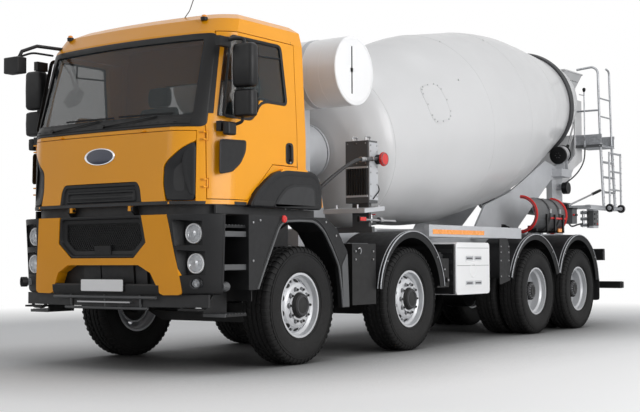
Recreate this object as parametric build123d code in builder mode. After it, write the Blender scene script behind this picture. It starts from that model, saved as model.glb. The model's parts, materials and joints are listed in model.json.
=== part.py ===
"""Concrete mixer truck with four axles, two of them steered, and a cab over the engine.

Millimetres. +X is the truck's left, +Y runs to its rear, +Z is up from the ground.
The origin is on the ground, under the middle of the whole truck.
"""
from build123d import *
import os
from math import atan2, cos, radians, sin, sqrt, tan

os.makedirs("parts", exist_ok=True)

# ---------------------------------------------------------------- driving dimensions
FIT = 0.3                     # gap between faces that are bolted or seated together
RUNNING = 0.05                # radial clearance of a pin in its bore
MOVING = 6.0                  # least gap between pieces that move past each other

# Axles: distances along the truck, measured from the front axle rearwards
FRONT_AXLE_Y = -3440
SPACING_1_2, SPACING_2_3, SPACING_3_4 = 1960, 3210, 1350
AXLE_Y = [FRONT_AXLE_Y, FRONT_AXLE_Y + SPACING_1_2,
          FRONT_AXLE_Y + SPACING_1_2 + SPACING_2_3,
          FRONT_AXLE_Y + SPACING_1_2 + SPACING_2_3 + SPACING_3_4]

# Tyres 315/80 R22.5 on 22.5 x 9 rims
TYRE_RADIUS = 540
TYRE_HALF = 155
RIM_HALF = 127                # rim centre to the flange's outer face
FLANGE_RADIUS = 298.5
BEAD_RADIUS = 287
STEERED_X = 1011              # tyre centre of the steered wheels
DUAL_OUTER_X = 977            # tyre centre of the outer wheel of a pair
DUAL_SPACING = 340
HUB_Z = TYRE_RADIUS

# Steering and axle beams
KING_PIN_X = 860
KING_PIN_RADIUS = 24
STUB_RADIUS = 45
BOSS_RADIUS = 52
BOSS_HALF = 60

# Ladder frame
FRAME_HALF = 425              # outside face of a side rail
RAIL_FLANGE = 85
RAIL_WEB = 10
RAIL_TOP = 1090
RAIL_BOTTOM = 800
FRAME_FRONT = FRONT_AXLE_Y - 1150
FRAME_REAR = AXLE_Y[3] + 1480
SUBFRAME_TOP = 1300

# Cab
CAB_WALL = 60
CAB_FLOOR = 30
CAB_BOTTOM = 1430
CAB_BELT = 2070
CAB_FRONT = FRONT_AXLE_Y - 1430
CAB_REAR = FRONT_AXLE_Y + 80
CAB_HALF = 1150
CAB_ROOF = 3130
DOOR_GAP = 7

# Drum: its axis rises to the rear in the middle plane
DRUM_TILT = 10.8
DRUM_Y, DRUM_Z = FRONT_AXLE_Y, 1812
DRUM_WALL = 8
DRUM_HEAD = 2100              # along the axis, to where the dished head meets the front cone
REAR_CONE = 6250              # and to where the rear cone starts
# columns: distance along the drum's axis, outside radius
DRUM_STATIONS = ((1750, 350), (1800, 560), (1900, 745), (DRUM_HEAD, 918), (3000, 1030), (3500, 1122),
                 (3990, 1170), (5080, 1160), (5650, 1108), (REAR_CONE, 985), (7900, 600))
RING_AT, RING_RADIUS, RING_HALF = 7320, 780, 50
ROLLER_RADIUS, ROLLER_HALF, ROLLER_PIN = 125, 50, 25
ROLLER_ANGLE = 35             # of each roller, from straight below the ring


# ---------------------------------------------------------------- helpers
def save(name, builder):
    """Label a finished piece and write it to its own file."""
    builder.part.label = name
    export_step(builder.part, f"parts/{name}.step")


def aft(distance):
    """The Y of a point that far behind the front axle."""
    return FRONT_AXLE_Y + distance


def block(x, y, z, mode=Mode.ADD):
    """Add a box that spans the pairs x, y and z to the open part."""
    with Locations(((x[0] + x[1]) / 2, (y[0] + y[1]) / 2, (z[0] + z[1]) / 2)):
        Box(abs(x[1] - x[0]), abs(y[1] - y[0]), abs(z[1] - z[0]), mode=mode)


def side_plate(x, points, mode=Mode.ADD):
    """Extrude an outline of (y, z) points over the pair x."""
    with BuildSketch(Plane.YZ.offset(x[0])) as outline:
        with BuildLine():
            Polyline(*points, close=True)
        make_face()
    extrude(outline.sketch, amount=x[1] - x[0], mode=mode)


def cross_plate(y, points, mode=Mode.ADD):
    """Extrude an outline of (x, z) points over the pair y."""
    with BuildSketch(Plane.XZ.offset(-y[1])) as outline:
        with BuildLine():
            Polyline(*points, close=True)
        make_face()
    extrude(outline.sketch, amount=y[1] - y[0], mode=mode)


def rod(start, end, radius, mode=Mode.ADD):
    """Add a round bar between two points."""
    run = Vector(*end) - Vector(*start)
    with BuildSketch(Plane(origin=tuple(start), z_dir=run)) as section:
        Circle(radius)
    extrude(section.sketch, amount=run.length, mode=mode)


def cord(points, diameter):
    """Add a round hose or cable: straight runs joined by arcs as large as the runs allow."""
    corners = [Vector(*point) for point in points]
    radii = []
    for before, corner, after in zip(corners, corners[1:], corners[2:]):
        turn = (corner - before).get_angle(after - corner)
        shorter = min((corner - before).length, (after - corner).length)
        radii.append(0.45 * shorter / tan(radians(turn / 2)))
    with BuildLine() as route:
        FilletPolyline(*corners, radius=radii)
    path = route.wire()
    with BuildSketch(Plane(origin=path @ 0, z_dir=path % 0)) as section:
        Circle(diameter / 2)
    sweep(section.sketch, path=path)
    print(f"cord {diameter} mm thick, {path.length:.1f} mm long, section times length "
          f"{section.sketch.area * path.length:.0f}, arcs' radii", [round(radius) for radius in radii])


def bent_tube(points, radius, bend):
    """Add a round tube, drawn solid, along a route with rounded corners."""
    with BuildLine() as route:
        FilletPolyline(*points, radius=bend)
    with BuildSketch(Plane(origin=route.line @ 0, z_dir=route.line % 0)) as section:
        Circle(radius)
    sweep(section.sketch, path=route.line)


def both_sides():
    """Copy the open part to the truck's other side."""
    mirror(about=Plane.YZ)


def cut(tool):
    """Cut a finished part out of the open one."""
    add(tool, mode=Mode.SUBTRACT)


# ---------------------------------------------------------------- wheels
SIDES = (("left", 1), ("right", -1))


def wheel_plane(x, y):
    """The plane through a wheel's axis: local x is along the axle, local y is the radius."""
    return Plane(origin=(x, y, HUB_Z), x_dir=(1, 0, 0), z_dir=(0, -1, 0))


def revolve_profile(x, y, side, points):
    """Turn a closed (outboard distance, radius) outline about the axle into the open part."""
    with BuildSketch(wheel_plane(x, y)) as section:
        with BuildLine():
            Polyline(*[(side * out, r) for out, r in points], close=True)
        make_face()
    revolve(section.sketch, axis=Axis((x, y, HUB_Z), (1, 0, 0)))


def add_tyre(x, y):
    """One tyre: tread, bulged sidewalls and beads, open towards the rim."""
    bead, shoulder = RIM_HALF - 17, TYRE_HALF - 14
    tread, skin, crown = TYRE_HALF - 27, 20, 9
    middle = (FLANGE_RADIUS + TYRE_RADIUS) / 2 - 12
    with BuildSketch(wheel_plane(x, y)) as section:
        with BuildLine():
            Polyline((bead, BEAD_RADIUS), (bead + 2, FLANGE_RADIUS + 1.5))
            ThreePointArc((bead + 2, FLANGE_RADIUS + 1.5), (TYRE_HALF, middle),
                          (shoulder, TYRE_RADIUS - 38))
            Line((shoulder, TYRE_RADIUS - 38), (tread, TYRE_RADIUS - crown))
            ThreePointArc((tread, TYRE_RADIUS - crown), (0, TYRE_RADIUS),
                          (-tread, TYRE_RADIUS - crown))
            Line((-tread, TYRE_RADIUS - crown), (-shoulder, TYRE_RADIUS - 38))
            ThreePointArc((-shoulder, TYRE_RADIUS - 38), (-TYRE_HALF, middle),
                          (-bead - 2, FLANGE_RADIUS + 1.5))
            Polyline((-bead - 2, FLANGE_RADIUS + 1.5), (-bead, BEAD_RADIUS),
                     (skin - bead, BEAD_RADIUS))
            ThreePointArc((skin - bead, BEAD_RADIUS), (skin - TYRE_HALF, middle),
                          (1.5 * skin - shoulder, TYRE_RADIUS - 2.4 * skin))
            Line((1.5 * skin - shoulder, TYRE_RADIUS - 2.4 * skin),
                 (shoulder - 1.5 * skin, TYRE_RADIUS - 2.4 * skin))
            ThreePointArc((shoulder - 1.5 * skin, TYRE_RADIUS - 2.4 * skin),
                          (TYRE_HALF - skin, middle), (bead - skin, BEAD_RADIUS))
            Line((bead - skin, BEAD_RADIUS), (bead, BEAD_RADIUS))
        make_face()
    revolve(section.sketch, axis=Axis((x, y, HUB_Z), (1, 0, 0)))


SEAT_RADIUS = BEAD_RADIUS - FIT
WELL_RADIUS = 262
DRUM_BRAKE = 205              # outside radius of a brake drum
BORE_RADIUS = STUB_RADIUS + 0.5

# columns: outboard distance from the rim's centre, radius
RIM_OUTSIDE = ((RIM_HALF, FLANGE_RADIUS), (RIM_HALF - 10, FLANGE_RADIUS),
               (RIM_HALF - 13, SEAT_RADIUS), (70, SEAT_RADIUS - 2), (50, WELL_RADIUS),
               (-50, WELL_RADIUS), (-70, SEAT_RADIUS - 2), (13 - RIM_HALF, SEAT_RADIUS),
               (10 - RIM_HALF, FLANGE_RADIUS), (-RIM_HALF, FLANGE_RADIUS),
               (-RIM_HALF, SEAT_RADIUS - 10), (-75, SEAT_RADIUS - 12), (-55, WELL_RADIUS - 10))
RIM_MOUTH = ((55, WELL_RADIUS - 10), (75, SEAT_RADIUS - 12), (RIM_HALF, SEAT_RADIUS - 10))

# Steered wheel: bulged disc, brake drum open to the inside, hub with a blind bore
STEERED_DISC = ((20, WELL_RADIUS - 10), (80, DRUM_BRAKE + 2), (-80, DRUM_BRAKE + 2),
                (-80, DRUM_BRAKE - 15), (60, DRUM_BRAKE - 15), (60, 95), (-35, 95),
                (-35, BORE_RADIUS), (65, BORE_RADIUS), (65, 0), (150, 0), (150, 60), (140, 75),
                (106, 80), (106, 178), (96, 202), (44, WELL_RADIUS - 10))
# Outer wheel of a pair: deep disc that meets the inner one between the tyres, and the hub
DISC_FACE = -DUAL_SPACING / 2 + FIT
OUTER_DISC = ((DISC_FACE + 12, DRUM_BRAKE + 3), (DISC_FACE, DRUM_BRAKE - 5),
              (DISC_FACE, BORE_RADIUS), (20, BORE_RADIUS), (20, 0), (75, 0), (75, 80),
              (60, 100), (-20, 105), (-40, 150), (DISC_FACE + 20, 155),
              (DISC_FACE + 20, 200), (DISC_FACE + 30, 210), (-32, WELL_RADIUS - 10))
# Inner wheel of a pair, with the brake drum; outboard distances as for the other side
TUBE_RADIUS = 65
INNER_DISC = ((-20, WELL_RADIUS - 10), (32, WELL_RADIUS - 10), (-DISC_FACE - 30, 214),
              (-DISC_FACE - 20, DRUM_BRAKE), (-60, DRUM_BRAKE), (-60, DRUM_BRAKE - 15),
              (-DISC_FACE - 15, DRUM_BRAKE - 15), (-DISC_FACE - 15, TUBE_RADIUS + MOVING),
              (-DISC_FACE, TUBE_RADIUS + MOVING), (-DISC_FACE, DRUM_BRAKE - 5),
              (-DISC_FACE - 12, DRUM_BRAKE + 5))

for number, axle_y in enumerate(AXLE_Y, start=1):
    for side_name, side in SIDES:
        if number <= 2:
            with BuildPart() as tyre:
                add_tyre(side * STEERED_X, axle_y)
            with BuildPart() as rim:
                revolve_profile(side * STEERED_X, axle_y, side, RIM_OUTSIDE + STEERED_DISC + RIM_MOUTH)
                with BuildSketch(Plane(origin=(side * STEERED_X, axle_y, HUB_Z), x_dir=(0, 1, 0),
                                       z_dir=(side, 0, 0)).offset(20)):
                    with PolarLocations(230, 10):
                        SlotOverall(46, 26, rotation=90)
                extrude(amount=90, mode=Mode.SUBTRACT)
        else:
            outer_x = side * DUAL_OUTER_X
            inner_x = side * (DUAL_OUTER_X - DUAL_SPACING)
            with BuildPart() as tyre:
                add_tyre(outer_x, axle_y)
                add_tyre(inner_x, axle_y)
            with BuildPart() as rim:
                revolve_profile(outer_x, axle_y, side, RIM_OUTSIDE + OUTER_DISC + RIM_MOUTH)
                revolve_profile(inner_x, axle_y, side,
                                RIM_OUTSIDE + INNER_DISC + ((56, WELL_RADIUS - 10),) + RIM_MOUTH[1:])
        save(f"tyre_{number}_{side_name}", tyre)
        save(f"rim_{number}_{side_name}", rim)

# ---------------------------------------------------------------- steering knuckles
EAR = 40                      # height of a knuckle's ear
for number, axle_y in enumerate(AXLE_Y[:2], start=1):
    for side_name, side in SIDES:
        wall = (side * (KING_PIN_X + BOSS_RADIUS + 10), side * (KING_PIN_X + 88))
        low = (HUB_Z - BOSS_HALF - MOVING - EAR, HUB_Z - BOSS_HALF - MOVING)
        high = (HUB_Z + BOSS_HALF + MOVING, HUB_Z + BOSS_HALF + MOVING + EAR)
        with BuildPart() as knuckle:
            block(wall, (axle_y - 50, axle_y + 50), (low[0], high[1]))
            for ear in (low, high):
                block((side * KING_PIN_X, wall[1]), (axle_y - 50, axle_y + 50), ear)
                rod((side * KING_PIN_X, axle_y, ear[0]), (side * KING_PIN_X, axle_y, ear[1]), 50)
            rod((side * KING_PIN_X, axle_y, low[0]), (side * KING_PIN_X, axle_y, high[1]),
                KING_PIN_RADIUS)
            rod((side * (KING_PIN_X + 72), axle_y, HUB_Z), (side * (KING_PIN_X + 84), axle_y, HUB_Z),
                DRUM_BRAKE - 25)
            rod((wall[1], axle_y, HUB_Z), (side * (STEERED_X + 60), axle_y, HUB_Z), STUB_RADIUS)
        save(f"knuckle_{number}_{side_name}", knuckle)

# ---------------------------------------------------------------- axles and springs
SPRING_X = (340, 415)
BEAM_TOP = 460
with BuildPart() as front_axles:
    for axle_y in AXLE_Y[:2]:
        half_beam = ((0, 370), (520, 370), (640, 425), (760, 485), (KING_PIN_X, 485),
                     (KING_PIN_X, 595), (740, 590), (600, 520), (500, BEAM_TOP), (0, BEAM_TOP))
        cross_plate((axle_y - 45, axle_y + 45), half_beam)
        with BuildSketch(Plane.YZ.offset(SPRING_X[0])):
            with BuildLine():
                ThreePointArc((axle_y - 730, 610), (axle_y, BEAM_TOP - 2), (axle_y + 730, 610))
                Line((axle_y + 730, 610), (axle_y + 730, 645))
                ThreePointArc((axle_y + 730, 645), (axle_y, 545), (axle_y - 730, 645))
                Line((axle_y - 730, 645), (axle_y - 730, 610))
            make_face()
        extrude(amount=SPRING_X[1] - SPRING_X[0])
        for hanger_y in (axle_y - 700, axle_y + 700):
            block(SPRING_X, (hanger_y - 35, hanger_y + 35), (610, RAIL_BOTTOM - FIT))
        rod((KING_PIN_X, axle_y, HUB_Z - BOSS_HALF), (KING_PIN_X, axle_y, HUB_Z + BOSS_HALF), BOSS_RADIUS)
        rod((KING_PIN_X, axle_y, HUB_Z - BOSS_HALF), (KING_PIN_X, axle_y, HUB_Z + BOSS_HALF),
            KING_PIN_RADIUS + RUNNING, mode=Mode.SUBTRACT)
    both_sides()
save("front_axles", front_axles)

ENGINE_HALF, ENGINE_Y, ENGINE_Z = 325, (aft(-350), aft(850)), (620, 1330)
# Oil hose from the pump port on the engine's side to the cooler's fitting
HOSE_DIAMETER = 36
HOSE_ROUTE = ((385, aft(520), 1250), (480, aft(520), 1250), (590, aft(530), 1310), (690, aft(545), 1385),
              (775, aft(563), 1470), (850, aft(585), 1555), (915, aft(612), 1630), (965, aft(660), 1700),
              (1000, aft(763), 1777), (1030, aft(890), 1859), (1052, aft(985), 1907), (1060, aft(1083), 1950),
              (1060, aft(1159), 1957))
GEARBOX_REAR = aft(1500)
SHAFT_Z = 600
TUBE_END = DUAL_OUTER_X - DUAL_SPACING / 2 - 5
with BuildPart() as rear_axles:
    for axle_y in AXLE_Y[2:]:
        rod((0, axle_y, HUB_Z), (TUBE_END, axle_y, HUB_Z), TUBE_RADIUS)
        rod((0, axle_y, HUB_Z), (DUAL_OUTER_X + 10, axle_y, HUB_Z), STUB_RADIUS)
        rod((0, axle_y, HUB_Z), (150, axle_y, HUB_Z), 215)
    middle_y = (AXLE_Y[2] + AXLE_Y[3]) / 2
    side_plate(SPRING_X, ((AXLE_Y[2] - 60, 595), (AXLE_Y[3] + 60, 595), (AXLE_Y[3] + 60, 640),
                          (middle_y + 150, 720), (middle_y + 90, RAIL_BOTTOM - FIT),
                          (middle_y - 90, RAIL_BOTTOM - FIT), (middle_y - 150, 720),
                          (AXLE_Y[2] - 60, 640)))
    both_sides()
    rod((0, GEARBOX_REAR + FIT, SHAFT_Z), (0, AXLE_Y[3], SHAFT_Z), 50)
save("rear_axles", rear_axles)

with BuildPart() as engine:
    block((-ENGINE_HALF, ENGINE_HALF), ENGINE_Y, ENGINE_Z)
    block((-180, 180), (ENGINE_Y[1], GEARBOX_REAR), (540, 830))
    for mount_y in (aft(-200), aft(600)):
        block((FIT + RAIL_WEB - FRAME_HALF, FRAME_HALF - RAIL_WEB - FIT), (mount_y - 60, mount_y + 60),
              (900, 1000))
    port = HOSE_ROUTE[0]
    rod((ENGINE_HALF, port[1], port[2]), port, HOSE_DIAMETER / 2 + 8)
save("engine", engine)

with BuildPart() as cooler_hose:
    cord(HOSE_ROUTE, HOSE_DIAMETER)
save("cooler_hose", cooler_hose)

# ---------------------------------------------------------------- ladder frame
# The cab tips about stub pins on two brackets that reach forward from the frame
HINGE_PIN_Y, HINGE_PIN_Z, HINGE_PIN_RADIUS, HINGE_EYE = aft(-1400), 1400, 14, 18
CAB_LUG_X = (340, 372)
BRACKET_X = (CAB_LUG_X[1] + MOVING, CAB_LUG_X[1] + MOVING + 22)
with BuildPart() as frame:
    for side in (1, -1):
        block((side * (FRAME_HALF - RAIL_FLANGE), side * FRAME_HALF), (FRAME_FRONT, FRAME_REAR),
              (RAIL_BOTTOM, RAIL_TOP))
        block((side * (FRAME_HALF - RAIL_FLANGE), side * (FRAME_HALF - RAIL_WEB)),
              (FRAME_FRONT, FRAME_REAR), (RAIL_BOTTOM + RAIL_WEB, RAIL_TOP - RAIL_WEB), mode=Mode.SUBTRACT)
    for member_y in (FRAME_FRONT + 60, aft(1280), AXLE_Y[1] + 760, AXLE_Y[2] - 1200,
                     (AXLE_Y[2] + AXLE_Y[3]) / 2, AXLE_Y[3] + 500, FRAME_REAR - 60):
        block((RAIL_WEB - FRAME_HALF, FRAME_HALF - RAIL_WEB), (member_y - 60, member_y + 60), (860, 1060))
    for side in (1, -1):
        side_plate((side * BRACKET_X[0], side * BRACKET_X[1]),
                   ((FRAME_FRONT + 100, 900), (FRAME_FRONT + 100, RAIL_TOP - 5),
                    (HINGE_PIN_Y + 30, HINGE_PIN_Z + HINGE_EYE),
                    (HINGE_PIN_Y - HINGE_EYE, HINGE_PIN_Z + HINGE_EYE),
                    (HINGE_PIN_Y - HINGE_EYE, HINGE_PIN_Z - HINGE_EYE),
                    (HINGE_PIN_Y + 16, HINGE_PIN_Z - 49), (FRAME_FRONT, 1046), (FRAME_FRONT, 900)))
        rod((side * (CAB_LUG_X[0] - 5), HINGE_PIN_Y, HINGE_PIN_Z),
            (side * BRACKET_X[1], HINGE_PIN_Y, HINGE_PIN_Z), HINGE_PIN_RADIUS)
save("frame", frame)

# ---------------------------------------------------------------- subframe and drum supports
PEDESTAL_Y = (aft(1180), aft(1560))
TANK_Y, TANK_Z, TANK_RADIUS, TANK_HALF = aft(1060), 2840, 347, 1060
WALK_X, WALK_Y = (1040, 1100), (aft(2450), aft(4760))
SUB_X = (345, 430)
AXIS = Vector(0, cos(radians(DRUM_TILT)), sin(radians(DRUM_TILT)))
DRUM_ORIGIN = Vector(0, DRUM_Y, DRUM_Z)


def on_axis(distance):
    """The point that far along the drum's axis."""
    return DRUM_ORIGIN + AXIS * distance


def drum_radius(distance):
    """The drum's outside radius at a distance along its axis."""
    for (s0, r0), (s1, r1) in zip(DRUM_STATIONS, DRUM_STATIONS[1:]):
        if s0 <= distance <= s1:
            return r0 + (r1 - r0) * (distance - s0) / (s1 - s0)


def under_drum(distance, x, gap):
    """(y, z) of the point a gap below the drum's skin, at that distance and that x."""
    drop = sqrt(drum_radius(distance) ** 2 - x ** 2) + gap
    centre = on_axis(distance)
    return centre.Y + drop * AXIS.Z, centre.Z - drop * AXIS.Y


# Extension chute: a gutter on its side, its belly outwards, stowed above the left rear wheels
EXTENSION_X, EXTENSION_RADIUS = 850, 225
EXTENSION_Z = SUBFRAME_TOP + FIT + EXTENSION_RADIUS
EXTENSION_Y = (aft(5250), aft(6230))

GEAR_FACE = DRUM_STATIONS[0][0] - FIT      # where the drum's flange meets the gearbox
GEAR_LENGTH = 430
with BuildPart() as subframe:
    for side in (1, -1):
        block((side * SUB_X[0], side * SUB_X[1]), (aft(950), FRAME_REAR - 40), (RAIL_TOP + FIT, SUBFRAME_TOP))
        block((side * WALK_X[0], side * WALK_X[1]), WALK_Y, (1200, 1330))
        side_plate((side * 330, side * 360),
                   ((PEDESTAL_Y[0], SUBFRAME_TOP), (PEDESTAL_Y[1], SUBFRAME_TOP),
                    (PEDESTAL_Y[1] - 130, 1800), (PEDESTAL_Y[0] + 20, 1800)))
        block((side * 400, side * 460), (aft(1000), aft(1120)), (SUBFRAME_TOP, TANK_Z - 250))
    for out_y in (WALK_Y[0] + 40, (WALK_Y[0] + WALK_Y[1]) / 2, WALK_Y[1] - 40):
        for side in (1, -1):
            block((side * SUB_X[1], side * WALK_X[0]), (out_y - 35, out_y + 35), (1205, 1285))
    for rest_y in (EXTENSION_Y[0] + 90, (AXLE_Y[2] + AXLE_Y[3]) / 2):
        block((SUB_X[1], EXTENSION_X + 40), (rest_y - 30, rest_y + 30), (1266, SUBFRAME_TOP))
    for cross_y in (aft(1000), PEDESTAL_Y[1] - 60, WALK_Y[0] + 40, WALK_Y[1] - 40, FRAME_REAR - 100):
        block((-SUB_X[0], SUB_X[0]), (cross_y - 50, cross_y + 50), (1110, 1260))
    block((-360, 360), (PEDESTAL_Y[0] + 20, PEDESTAL_Y[1] - 130), (1770, 1800))
    block((-460, 460), (aft(1000), aft(1120)), (TANK_Z - 420, TANK_Z - 340))
    rod((-TANK_HALF, TANK_Y, TANK_Z), (TANK_HALF, TANK_Y, TANK_Z), TANK_RADIUS + FIT, mode=Mode.SUBTRACT)
    # saddle under the drum's gearbox
    block((-250, 250), (PEDESTAL_Y[0] + 30, PEDESTAL_Y[1] - 140), (1800, 1960))
    rod(on_axis(GEAR_FACE - GEAR_LENGTH - 300), on_axis(GEAR_FACE),
        300 + FIT, mode=Mode.SUBTRACT)
save("subframe", subframe)

with BuildPart() as drum_gearbox:
    rod(on_axis(GEAR_FACE - GEAR_LENGTH), on_axis(GEAR_FACE - 60), 300)
    rod(on_axis(GEAR_FACE - 60), on_axis(GEAR_FACE), 250)
    rod(on_axis(GEAR_FACE - GEAR_LENGTH - 200), on_axis(GEAR_FACE - GEAR_LENGTH), 150)
save("drum_gearbox", drum_gearbox)

with BuildPart() as water_tank:
    rod((-TANK_HALF, TANK_Y, TANK_Z), (TANK_HALF, TANK_Y, TANK_Z), TANK_RADIUS)
    fillet(water_tank.edges().filter_by(GeomType.CIRCLE), radius=40)
save("water_tank", water_tank)

COOLER_X, COOLER_Y, COOLER_Z = (740, 1020), (aft(1360), aft(1530)), (1530, 2170)
VALVE_Y, VALVE_Z = aft(1508), 1980   # of the round valve on the cooler's side, with its cap outwards
VALVE_X = (COOLER_X[1] - 5, 1092, 1130)
with BuildPart() as oil_cooler:
    block(COOLER_X, COOLER_Y, COOLER_Z)
    rod((VALVE_X[0], VALVE_Y, VALVE_Z), (VALVE_X[1], VALVE_Y, VALVE_Z), 48)
    rod((VALVE_X[1] - 1, VALVE_Y, VALVE_Z), (VALVE_X[2], VALVE_Y, VALVE_Z), 65)
    fitting = Vector(*HOSE_ROUTE[-1])
    fitting_run = (fitting - Vector(*HOSE_ROUTE[-2])).normalized()
    rod(fitting, fitting + fitting_run * 320, 17)
    block((SUB_X[1] + FIT, COOLER_X[1]), (COOLER_Y[0] + 60, COOLER_Y[1] - 60), (1230, 1290))
    block((COOLER_X[0] + 40, COOLER_X[1] - 40), (COOLER_Y[0] + 60, COOLER_Y[1] - 60), (1290, COOLER_Z[0]))
save("oil_cooler", oil_cooler)

# ---------------------------------------------------------------- mixer drum
drum_plane = Plane(origin=DRUM_ORIGIN, x_dir=AXIS, z_dir=(1, 0, 0))
drum_axis = Axis(DRUM_ORIGIN, AXIS)
with BuildPart() as drum:
    with BuildSketch(drum_plane):
        with BuildLine():
            inner = [(s + (DRUM_WALL if s < DRUM_HEAD else 0), r - DRUM_WALL)
                     for s, r in DRUM_STATIONS]
            Polyline((DRUM_STATIONS[0][0], 0), *DRUM_STATIONS, *reversed(inner), (inner[0][0], 0),
                     close=True)
        make_face()
    revolve(axis=drum_axis)
    with BuildSketch(drum_plane):
        with Locations((RING_AT, (RING_RADIUS + drum_radius(RING_AT)) / 2 - 8)):
            Rectangle(2 * RING_HALF, RING_RADIUS - drum_radius(RING_AT) + 16)
    revolve(axis=drum_axis)
save("drum", drum)

# ---------------------------------------------------------------- rollers and rear pedestal
ring_centre = on_axis(RING_AT)
ring_plane = Plane(origin=ring_centre, x_dir=(1, 0, 0), z_dir=AXIS)
ROLLER_REACH = RING_RADIUS + ROLLER_RADIUS + FIT
ROLLER_X = ROLLER_REACH * sin(radians(ROLLER_ANGLE))
ROLLER_DROP = ROLLER_REACH * cos(radians(ROLLER_ANGLE))
for side_name, side in SIDES:
    with BuildPart() as roller:
        with BuildSketch(ring_plane.offset(-ROLLER_HALF)):
            with Locations((side * ROLLER_X, ROLLER_DROP)):
                Circle(ROLLER_RADIUS)
                Circle(ROLLER_PIN + RUNNING, mode=Mode.SUBTRACT)
        extrude(amount=2 * ROLLER_HALF)
    save(f"roller_{side_name}", roller)

# Cable of the drum's rear control lever, from the lever rod's foot to a clip on the pedestal
CABLE_DIAMETER = 20
CABLE_ROUTE = ((640, aft(7955), 2600), (640, aft(7955), 2510), (625, aft(7958), 2410), (600, aft(7915), 2310),
               (572, aft(7825), 2215), (548, aft(7720), 2145), (525, aft(7600), 2085), (505, aft(7490), 2040),
               (497, aft(7430), 2022))
PLATE_X = (430, 460)
CHEEK = 16
POST_Y = (on_axis(RING_AT).Y - 30, on_axis(RING_AT).Y + 330)
BEAM_Z = (2130, 2240)
with BuildPart() as rear_pedestal:
    front_low = (AXLE_Y[2] - 420, SUBFRAME_TOP + FIT)
    side_plate(PLATE_X, (front_low, (front_low[0], SUBFRAME_TOP + 40),
                         under_drum(4920, PLATE_X[0], 25), under_drum(5650, PLATE_X[0], 30),
                         under_drum(REAR_CONE, PLATE_X[0], 40),
                         under_drum(6900, PLATE_X[0], 60), (POST_Y[1], BEAM_Z[1]),
                         (POST_Y[0] - 60, BEAM_Z[0] - 60), (AXLE_Y[3] - 220, SUBFRAME_TOP + 260),
                         (AXLE_Y[3] - 500, SUBFRAME_TOP + 80), (AXLE_Y[3] - 500, SUBFRAME_TOP + FIT)))
    block((PLATE_X[0] - 60, PLATE_X[1]), (POST_Y[0], POST_Y[1]), (SUBFRAME_TOP + FIT, BEAM_Z[1]))
    block((0, ROLLER_X + 90), (POST_Y[0], POST_Y[1]), BEAM_Z)
    for start in (-ROLLER_HALF - MOVING - CHEEK, ROLLER_HALF + MOVING):
        with BuildSketch(ring_plane.offset(start)):
            with Locations((ROLLER_X, ROLLER_DROP + 110)):
                Rectangle(150, 300)
        extrude(amount=CHEEK)
    with BuildSketch(ring_plane.offset(-ROLLER_HALF - MOVING - CHEEK)):
        with Locations((ROLLER_X, ROLLER_DROP)):
            Circle(ROLLER_PIN)
    extrude(amount=2 * (ROLLER_HALF + MOVING + CHEEK))
    both_sides()
    cable_end = Vector(*CABLE_ROUTE[-1])
    cable_run = (cable_end - Vector(*CABLE_ROUTE[-2])).normalized()
    rod(cable_end, cable_end + cable_run * 60, CABLE_DIAMETER / 2 + 4)
    block((PLATE_X[1] - 5, CABLE_ROUTE[-1][0] + 14), (CABLE_ROUTE[-1][1] - 50, CABLE_ROUTE[-1][1] - 20),
          (CABLE_ROUTE[-1][2] - 40, CABLE_ROUTE[-1][2] + 10))
save("rear_pedestal", rear_pedestal)

with BuildPart() as control_cable:
    cord(CABLE_ROUTE, CABLE_DIAMETER)
save("control_cable", control_cable)

# ---------------------------------------------------------------- hoppers over and under the mouth
mouth = on_axis(DRUM_STATIONS[-1][0])
SHEET = 6


def duct_rings(levels, inset):
    """Rectangles of a tapering duct, from levels of (z, half width, front y, rear y)."""
    rings = []
    for z, half, front, rear in levels:
        with BuildSketch(Plane.XY.offset(z)) as ring:
            with Locations((0, (front + rear) / 2)):
                Rectangle(2 * (half - inset), rear - front - 2 * inset)
        rings.append(ring.sketch)
    return rings


FUNNEL_FRONT = mouth.Y + 190
FUNNEL = ((2050, 190, FUNNEL_FRONT + 60, FUNNEL_FRONT + 370), (2780, 450, FUNNEL_FRONT, FUNNEL_FRONT + 480))
CHARGE = ((3170, 210, mouth.Y + 140, mouth.Y + 400), (3760, 430, mouth.Y - 20, mouth.Y + 640))
HOLDER_X = (470, 490)
with BuildPart() as hoppers:
    for side in (1, -1):
        side_plate((side * HOLDER_X[0], side * HOLDER_X[1]),
                   ((POST_Y[1] + FIT, BEAM_Z[0]), (POST_Y[1] + FIT, BEAM_Z[1]), (FUNNEL_FRONT, 2500),
                    (FUNNEL_FRONT, 3330), (FUNNEL_FRONT + 260, 3330), (FUNNEL_FRONT + 260, 2420)))
        block((side * 200, side * HOLDER_X[1]), (mouth.Y + 260, mouth.Y + 300), (3240, 3300))
        block((side * 400, side * HOLDER_X[1]), (FUNNEL_FRONT + 60, FUNNEL_FRONT + 110), (2690, 2740))
    for duct in (FUNNEL, CHARGE):
        loft(duct_rings(duct, -FIT), mode=Mode.SUBTRACT)
        loft(duct_rings(duct, 0))
        loft(duct_rings(duct, SHEET), mode=Mode.SUBTRACT)
save("hoppers", hoppers)

# ---------------------------------------------------------------- cab
# columns: height, half width, y where the side ends, corner x and y, front y in the middle
CAB_SECTIONS = ((CAB_BOTTOM, CAB_HALF, aft(-960), 790, aft(-1400), CAB_FRONT),
                (CAB_BELT, CAB_HALF, aft(-950), 790, aft(-1380), CAB_FRONT + 20),
                (2930, CAB_HALF - 40, aft(-870), 820, aft(-1075), aft(-1140)),
                (3060, CAB_HALF - 75, aft(-800), 780, aft(-975), aft(-1030)),
                (CAB_ROOF, CAB_HALF - 190, aft(-680), 680, aft(-830), aft(-880)))
CORNER_ROUND = 0.26           # how far a corner bulges towards its sharp point
FLAP_X, FLAP_Z, FLAP_THICK = 975, (1455, 2045), 35


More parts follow.
